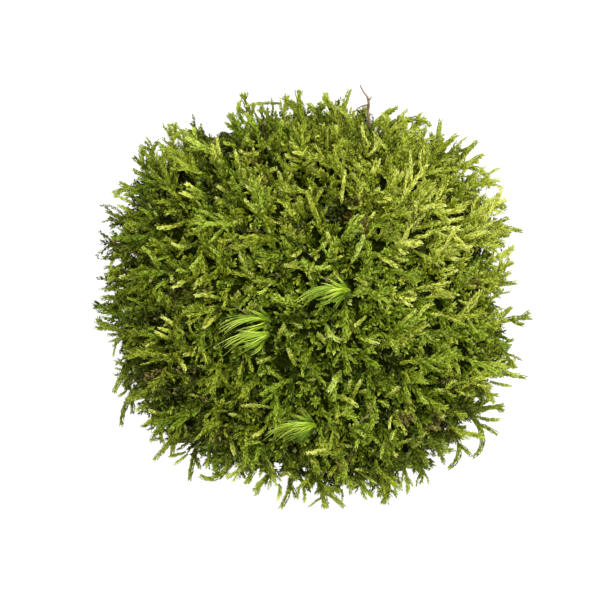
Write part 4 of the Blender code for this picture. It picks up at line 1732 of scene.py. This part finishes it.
@dataclass(frozen=True)
class LeafFinish(Finish):
    """Leaves that are coloured by the leaf map alone.

    Across each half of the map runs the way from a leaf's base to its tip, and up the map the tone
    runs from dead to fresh, and its low living part also stands for painted shade. The right half is
    greener. The base is darker with painted shade; the tip is paler, partly the leaf's pale point and
    partly painted highlight.

    Attributes:
        body: The leaf's colours by tone.
        tip: The tip's colours by tone: partly the leaf's pale point, partly painted highlight.
        tip_from: Where on the leaf the tip's colour starts to show.
        shift: How many degrees of hue the greener family is away.
        mottle: The scale, detail, least brightness and strength of the mottling.
        shaded: The part of the leaf over which the painted shade of its base goes, and its brightness.
        rough: The part of the leaf over which its roughness changes, and its roughness.
    """

    body: tuple[tuple[float, tuple[int, int, int]], ...] = ()
    tip: tuple[tuple[float, tuple[int, int, int]], ...] = ()
    tip_from: float = 0.45
    shift: float = 7.0
    mottle: tuple[float, float, float, float] = (9.0, 2.0, 0.78, 0.44)
    shaded: tuple[float, float, float, float] = (0.05, 0.4, 0.5, 1.0)
    rough: tuple[float, float, float, float] = (0.2, 0.9, 0.6, 0.38)

    def colours(self, tree: bpy.types.NodeTree) -> tuple[Socket, Socket, Socket | None]:
        """The leaf's colour and roughness from its place on the leaf map.

        Args:
            tree: The material's tree.

        Returns:
            The colour and the roughness, and no height.
        """
        place = node(tree, "ShaderNodeUVMap", {"uv_map": LEAF_MAP}, {}).out()
        parts = node(tree, "ShaderNodeSeparateXYZ", {}, {0: place})
        twice, tone = parts.out(0) * 2.0, parts.out(1)
        green = twice.sum_of("GREATER_THAN", twice, 1.0)
        along = twice - green
        scale, detail, least, strength = self.mottle
        mottle = least + noise(place, scale, detail, "2D") * strength
        # The pale tip: partly the leaf's own pale point, partly painted highlight.
        tip_paleness_and_highlight = remapped(along, (self.tip_from, 1.0), "SMOOTHSTEP")
        # Painted shade: the leaf darker towards its base, times a mottle of tone.
        shade = remapped(along, self.shaded) * mottle
        base_shade_and_mottle = node(tree, "ShaderNodeCombineColor", {}, {0: shade, 1: shade, 2: shade}).out()
        warm = mixed(tree, tip_paleness_and_highlight, ramp(tone, self.body), ramp(tone, self.tip))
        cool = node(tree, "ShaderNodeHueSaturation", {}, {"Hue": 0.5 + self.shift / 360, "Color": warm}).out()
        colour = mixed(tree, green, warm, cool)
        return mixed(tree, 1.0, colour, base_shade_and_mottle, "MULTIPLY"), remapped(along, self.rough), None


FEATHER_MOSS = LeafFinish(
    name="feather_moss_leaves",
    body=(
        (0.0, (46, 42, 12)),
        (0.10, (92, 82, 34)),
        (0.20, (134, 122, 60)),
        (0.26, (40, 48, 2)),
        (0.38, (72, 84, 6)),
        (0.50, (106, 120, 14)),
        (0.62, (138, 152, 26)),
        (0.74, (168, 180, 44)),
        (0.86, (196, 204, 70)),
        (1.0, (216, 220, 104)),
    ),
    # The tips' colours, pale to near white: partly the leaves' pale points, partly painted highlight.
    tip=(
        (0.0, (74, 66, 24)),
        (0.10, (130, 116, 60)),
        (0.20, (184, 170, 104)),
        (0.26, (74, 84, 12)),
        (0.38, (120, 132, 30)),
        (0.50, (166, 176, 58)),
        (0.62, (198, 206, 90)),
        (0.74, (222, 228, 130)),
        (0.86, (238, 242, 166)),
        (1.0, (246, 248, 196)),
    ),
)

FORK_MOSS = LeafFinish(
    name="fork_moss_leaves",
    specular=0.5,
    body=((0.0, (52, 72, 6)), (0.4, (112, 148, 10)), (0.7, (166, 196, 20)), (1.0, (206, 226, 60))),
    # The tips: partly pale leaf points, partly painted highlight.
    tip=((0.0, (70, 96, 16)), (0.4, (140, 166, 40)), (0.7, (190, 210, 80)), (1.0, (226, 238, 140))),
    tip_from=0.3,
)


@dataclass(frozen=True)
class PatternFinish(Finish):
    """A rough dry surface: colours spread by noise in the object's own space.

    Attributes:
        stops: The colours by the noise.
        scale: How fine the noise is.
        finer: How much finer the second noise is.
        details: The detail of the two noises.
        fine_share: The second noise's share.
        rough: The least roughness and how much the second noise adds.
    """

    stops: tuple[tuple[float, tuple[int, int, int]], ...] = ()
    scale: float = 400.0
    finer: float = 4.0
    details: tuple[float, float] = (4.0, 3.0)
    fine_share: float = 0.4
    rough: tuple[float, float] = (0.55, 0.5)

    def colours(self, tree: bpy.types.NodeTree) -> tuple[Socket, Socket, Socket | None]:
        """The surface from two sizes of noise.

        Args:
            tree: The material's tree.

        Returns:
            The colour, roughness and height.
        """
        place = node(tree, "ShaderNodeTexCoord", {}, {}).out("Object")
        coarse = noise(place, self.scale, self.details[0])
        fine = noise(place, self.scale * self.finer, self.details[1])
        value = coarse * (1 - self.fine_share) + fine * self.fine_share
        return ramp(value, self.stops), self.rough[0] + fine * self.rough[1], value


@dataclass(frozen=True)
class MatPeatAndShadeFinish(PatternFinish):
    """The mat: dark green painted shade between the shoots, and brown where it was cut off the ground.

    Attributes:
        cut: The cut's colours by the noise.
        fade: The heights between which the brown turns green, in metres.
    """

    cut: tuple[tuple[float, tuple[int, int, int]], ...] = ()
    fade: tuple[float, float] = (0.5 * MM, 2.5 * MM)

    def colours(self, tree: bpy.types.NodeTree) -> tuple[Socket, Socket, Socket | None]:
        """The pattern of the mat, with the cut's colours near the floor.

        Args:
            tree: The material's tree.

        Returns:
            The colour, roughness and height.
        """
        # The mat's dark green is painted shade; the brown of the cut is its own colour.
        mat_shade_colour, rough, value = super().colours(tree)
        place = node(tree, "ShaderNodeTexCoord", {}, {}).out("Object")
        height = node(tree, "ShaderNodeSeparateXYZ", {}, {0: place}).out(2)
        return mixed(tree, remapped(height, self.fade), ramp(value, self.cut), mat_shade_colour), rough, value


# The mat: its dark greens are painted shade in the gaps, its browns the cut's own colour.
MAT_PEAT_AND_SHADE = MatPeatAndShadeFinish(
    name="brown_mat",
    specular=0.0,
    stops=((0.32, (12, 17, 0)), (0.48, (26, 34, 1)), (0.6, (46, 56, 7)), (0.75, (74, 80, 20))),
    cut=((0.32, (36, 25, 13)), (0.48, (68, 50, 28)), (0.6, (100, 78, 46)), (0.75, (138, 112, 72))),
    scale=1100.0,
)
STEM = PatternFinish(
    name="dry_stem",
    stops=((0.36, (104, 86, 52)), (0.48, (138, 118, 88)), (0.6, (176, 150, 130)), (0.75, (150, 152, 124))),
    scale=420.0,
)
STRAW = PatternFinish(
    name="dry_straw",
    stops=((0.3, (112, 100, 62)), (0.5, (156, 142, 100)), (0.75, (190, 178, 136))),
    scale=700.0,
)
FLOOR = PatternFinish(
    name="white_floor",
    specular=0.0,
    glow=0.82,
    stops=((0.0, (150, 150, 150)), (1.0, (154, 154, 154))),
    scale=3.0,
)


@dataclass
class Mat:
    """The mat inside the clump, flat where it was cut off: a dark sheet of painted shade that shows in the
    gaps between the shoots, brown where it was cut.

    Attributes:
        bun: The body that it follows.
        inset: How far it lies under the skin.
        rows: How many rows of points it has.
        columns: How many points go round it.
        lowest: The lowest direction of its rows.
        rough: How far its roughness stands out.
        coarse: The steps of the coarse roughness along x, y, y and z, and how far they warp.
        fine: The steps of the fine roughness along x, z, y and z, and its share.
        map_width: The width that the leaf map shows, against the bun's radius.
    """

    bun: Bun
    inset: float = 3.2
    rows: int = 64
    columns: int = 150
    lowest: float = -0.27
    rough: float = 0.45
    coarse: tuple[float, float, float, float, float] = (1.9, 1.3, 1.7, 1.1, 2.0)
    fine: tuple[float, float, float, float, float] = (3.7, 1.1, 4.1, -2.3, 0.5)
    map_width: float = 2.6

    def roughness(self, point: np.ndarray) -> np.ndarray:
        """The roughness, from crossed sine waves of two sizes.

        The coarse one is sin(a x + w sin(b y)) sin(c y + w sin(d z + x)), and the fine one is a share
        of sin(a x + b z) sin(c y + d z).

        Args:
            point: The points.

        Returns:
            One number for each, mostly between -1 and 1.
        """
        x, y, z = np.moveaxis(point, -1, 0)
        step_x, step_y, step_y2, step_z, warp = self.coarse
        coarse = np.sin(step_x * x + warp * np.sin(step_y * y))
        coarse = coarse * np.sin(step_y2 * y + warp * np.sin(step_z * z + x))
        step_x, slant_x, step_y, slant_y, share = self.fine
        return coarse + share * np.sin(step_x * x + slant_x * z) * np.sin(step_y * y + slant_y * z)

    def build(self, material: bpy.types.Material) -> None:
        """Makes the mat from a grid of height and bearing over the bun, set in and roughened.

        A point lies on the bun's skin, less the inset and the roughness times the normal. The lowest
        row is pulled down to the floor, and closed by a flat disc.

        Args:
            material: The mat's material.
        """
        share = np.linspace(0, 1, self.rows)[:, None]
        angle = np.linspace(0, math.tau, self.columns, endpoint=False)[None]
        polar = share * (math.pi / 2 - math.asin(self.lowest))
        height = np.cos(polar) + 0 * angle
        flat = np.sin(polar) + 0 * angle
        direction = np.stack([flat * np.cos(angle), flat * np.sin(angle), height], -1)
        point, normal = self.bun.point(direction), self.bun.normal(direction)
        point = point - normal * (self.inset - self.rough * self.roughness(point))[..., None]
        point[..., 2] = np.maximum(point[..., 2], 0)
        low = point[-1].copy()
        low[:, 2] = 0
        point = np.concatenate([point, low[None], (low * 0.5)[None]])
        rings = len(point)
        top, bottom = point[0].mean(0), np.zeros(3)
        points = np.concatenate([point[1:].reshape(-1, 3), [top, bottom]])
        column = np.arange(self.columns)
        after = (column + 1) % self.columns
        row = (np.arange(rings - 2) * self.columns)[:, None]
        near, near_after = row + column, row + after
        far, far_after = near + self.columns, near_after + self.columns
        quads = np.stack([near, far, far_after, near, far_after, near_after], -1).reshape(-1, 3)
        crown = np.stack([np.full(self.columns, len(points) - 2), column, after], 1)
        last = (rings - 2) * self.columns
        base = np.stack([np.full(self.columns, len(points) - 1), last + after, last + column], 1)
        faces = np.concatenate([quads, crown, base])
        places = points[faces][..., :2].reshape(-1, 2) / (self.map_width * self.bun.radius) + 0.5
        piece = Skin(points, faces, places).made("brown_mat", material)
        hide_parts("moss_cushion")


@dataclass(frozen=True)
class Lamp:
    """A soft square lamp that points at the clump.

    Attributes:
        name: The lamp's name.
        place: Where it hangs, in metres.
        width: Its width in metres.
        power: Its power in watts.
    """

    name: str
    place: tuple[float, float, float]
    width: float
    power: float

    def hang(self) -> None:
        """Adds the lamp to the scene, turned to the clump."""
        lamp = bpy.data.lights.new(self.name, "AREA")
        lamp.energy, lamp.size = self.power, self.width
        light = bpy.data.objects.new(self.name, lamp)
        light.location = self.place
        aim = np.array(self.place) / np.linalg.norm(self.place)
        light.rotation_euler = (math.acos(aim[2]), 0, math.atan2(aim[1], aim[0]) + math.pi / 2)
        bpy.context.scene.collection.objects.link(light)


@dataclass(frozen=True)
class Studio:
    """The white floor, the light and the camera straight above the clump.

    Attributes:
        floor: The floor's width in metres.
        sky: How bright the white surroundings are.
        sensor: The width of the camera's sensor in millimetres.
        lamps: The lamps.
    """

    floor: float = 6.0
    sky: float = 0.77
    sensor: float = 36.0
    lamps: tuple[Lamp, ...] = (
        Lamp("key", (0.42, 0.5, 1.2), 0.7, 13.5),
        Lamp("fill", (-0.7, -0.5, 1.0), 1.0, 5.0),
    )

    def build(self) -> None:
        """Sets up the floor, the surroundings, the lamps and the camera."""
        bpy.ops.mesh.primitive_plane_add(size=self.floor, location=(0, 0, 0))
        floor = bpy.context.object
        floor.name = "floor"
        floor.data.materials.append(FLOOR.made())
        world = bpy.data.worlds.new("studio")
        world.use_nodes = True
        world.node_tree.nodes["Background"].inputs[0].default_value = (1.0, 1.0, 1.0, 1.0)
        world.node_tree.nodes["Background"].inputs[1].default_value = self.sky
        scene = bpy.context.scene
        scene.world = world
        for lamp in self.lamps:
            lamp.hang()
        distance = CAMERA_DISTANCE * MM
        lens = bpy.data.cameras.new("above")
        lens.sensor_width = self.sensor
        lens.lens = lens.sensor_width * distance / (IMAGE_WIDTH * PIXEL * MM)
        camera = bpy.data.objects.new("above", lens)
        camera.location = (from_photo(np.array(IMAGE_CENTRE)) + CLUMP_SHIFT) * MM + UP * distance
        scene.collection.objects.link(camera)
        scene.camera = camera
        scene.view_settings.view_transform = "Standard"


def main() -> None:
    """Builds the clump part by part."""
    logging.basicConfig(level=logging.INFO, format="%(message)s")
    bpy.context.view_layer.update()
    rng = np.random.default_rng(SEED)
    bun = Bun()
    leaves, fork = FEATHER_MOSS.made(), FORK_MOSS.made()
    Mat(bun).build(MAT_PEAT_AND_SHADE.made())
    mass = Mass(bun)
    carpet = Carpet()
    for storey in STOREYS:
        for axes, foliage in mass.grown(storey, rng):
            carpet.plant(mass.withered(mass.dimmed(axes), rng), foliage, rng)
    carpet.plant(Strands().laid(bun, rng), STRAND_FOLIAGE, rng)
    carpet.build(leaves)
    Fronds().build(mass, leaves, rng)
    for tuft in TUFTS:
        tuft.build(bun, fork, rng)
    stem, straw = STEM.made(), STRAW.made()
    for name, material in (
        ("dry_stem", stem),
        ("dry_stalk_middle", straw),
        ("dry_stalk_left", straw),
        ("dry_stalk_lower", straw),
    ):
        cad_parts[name].material_slots[0].material = material
    Studio().build()


if __name__ == "__main__":
    main()
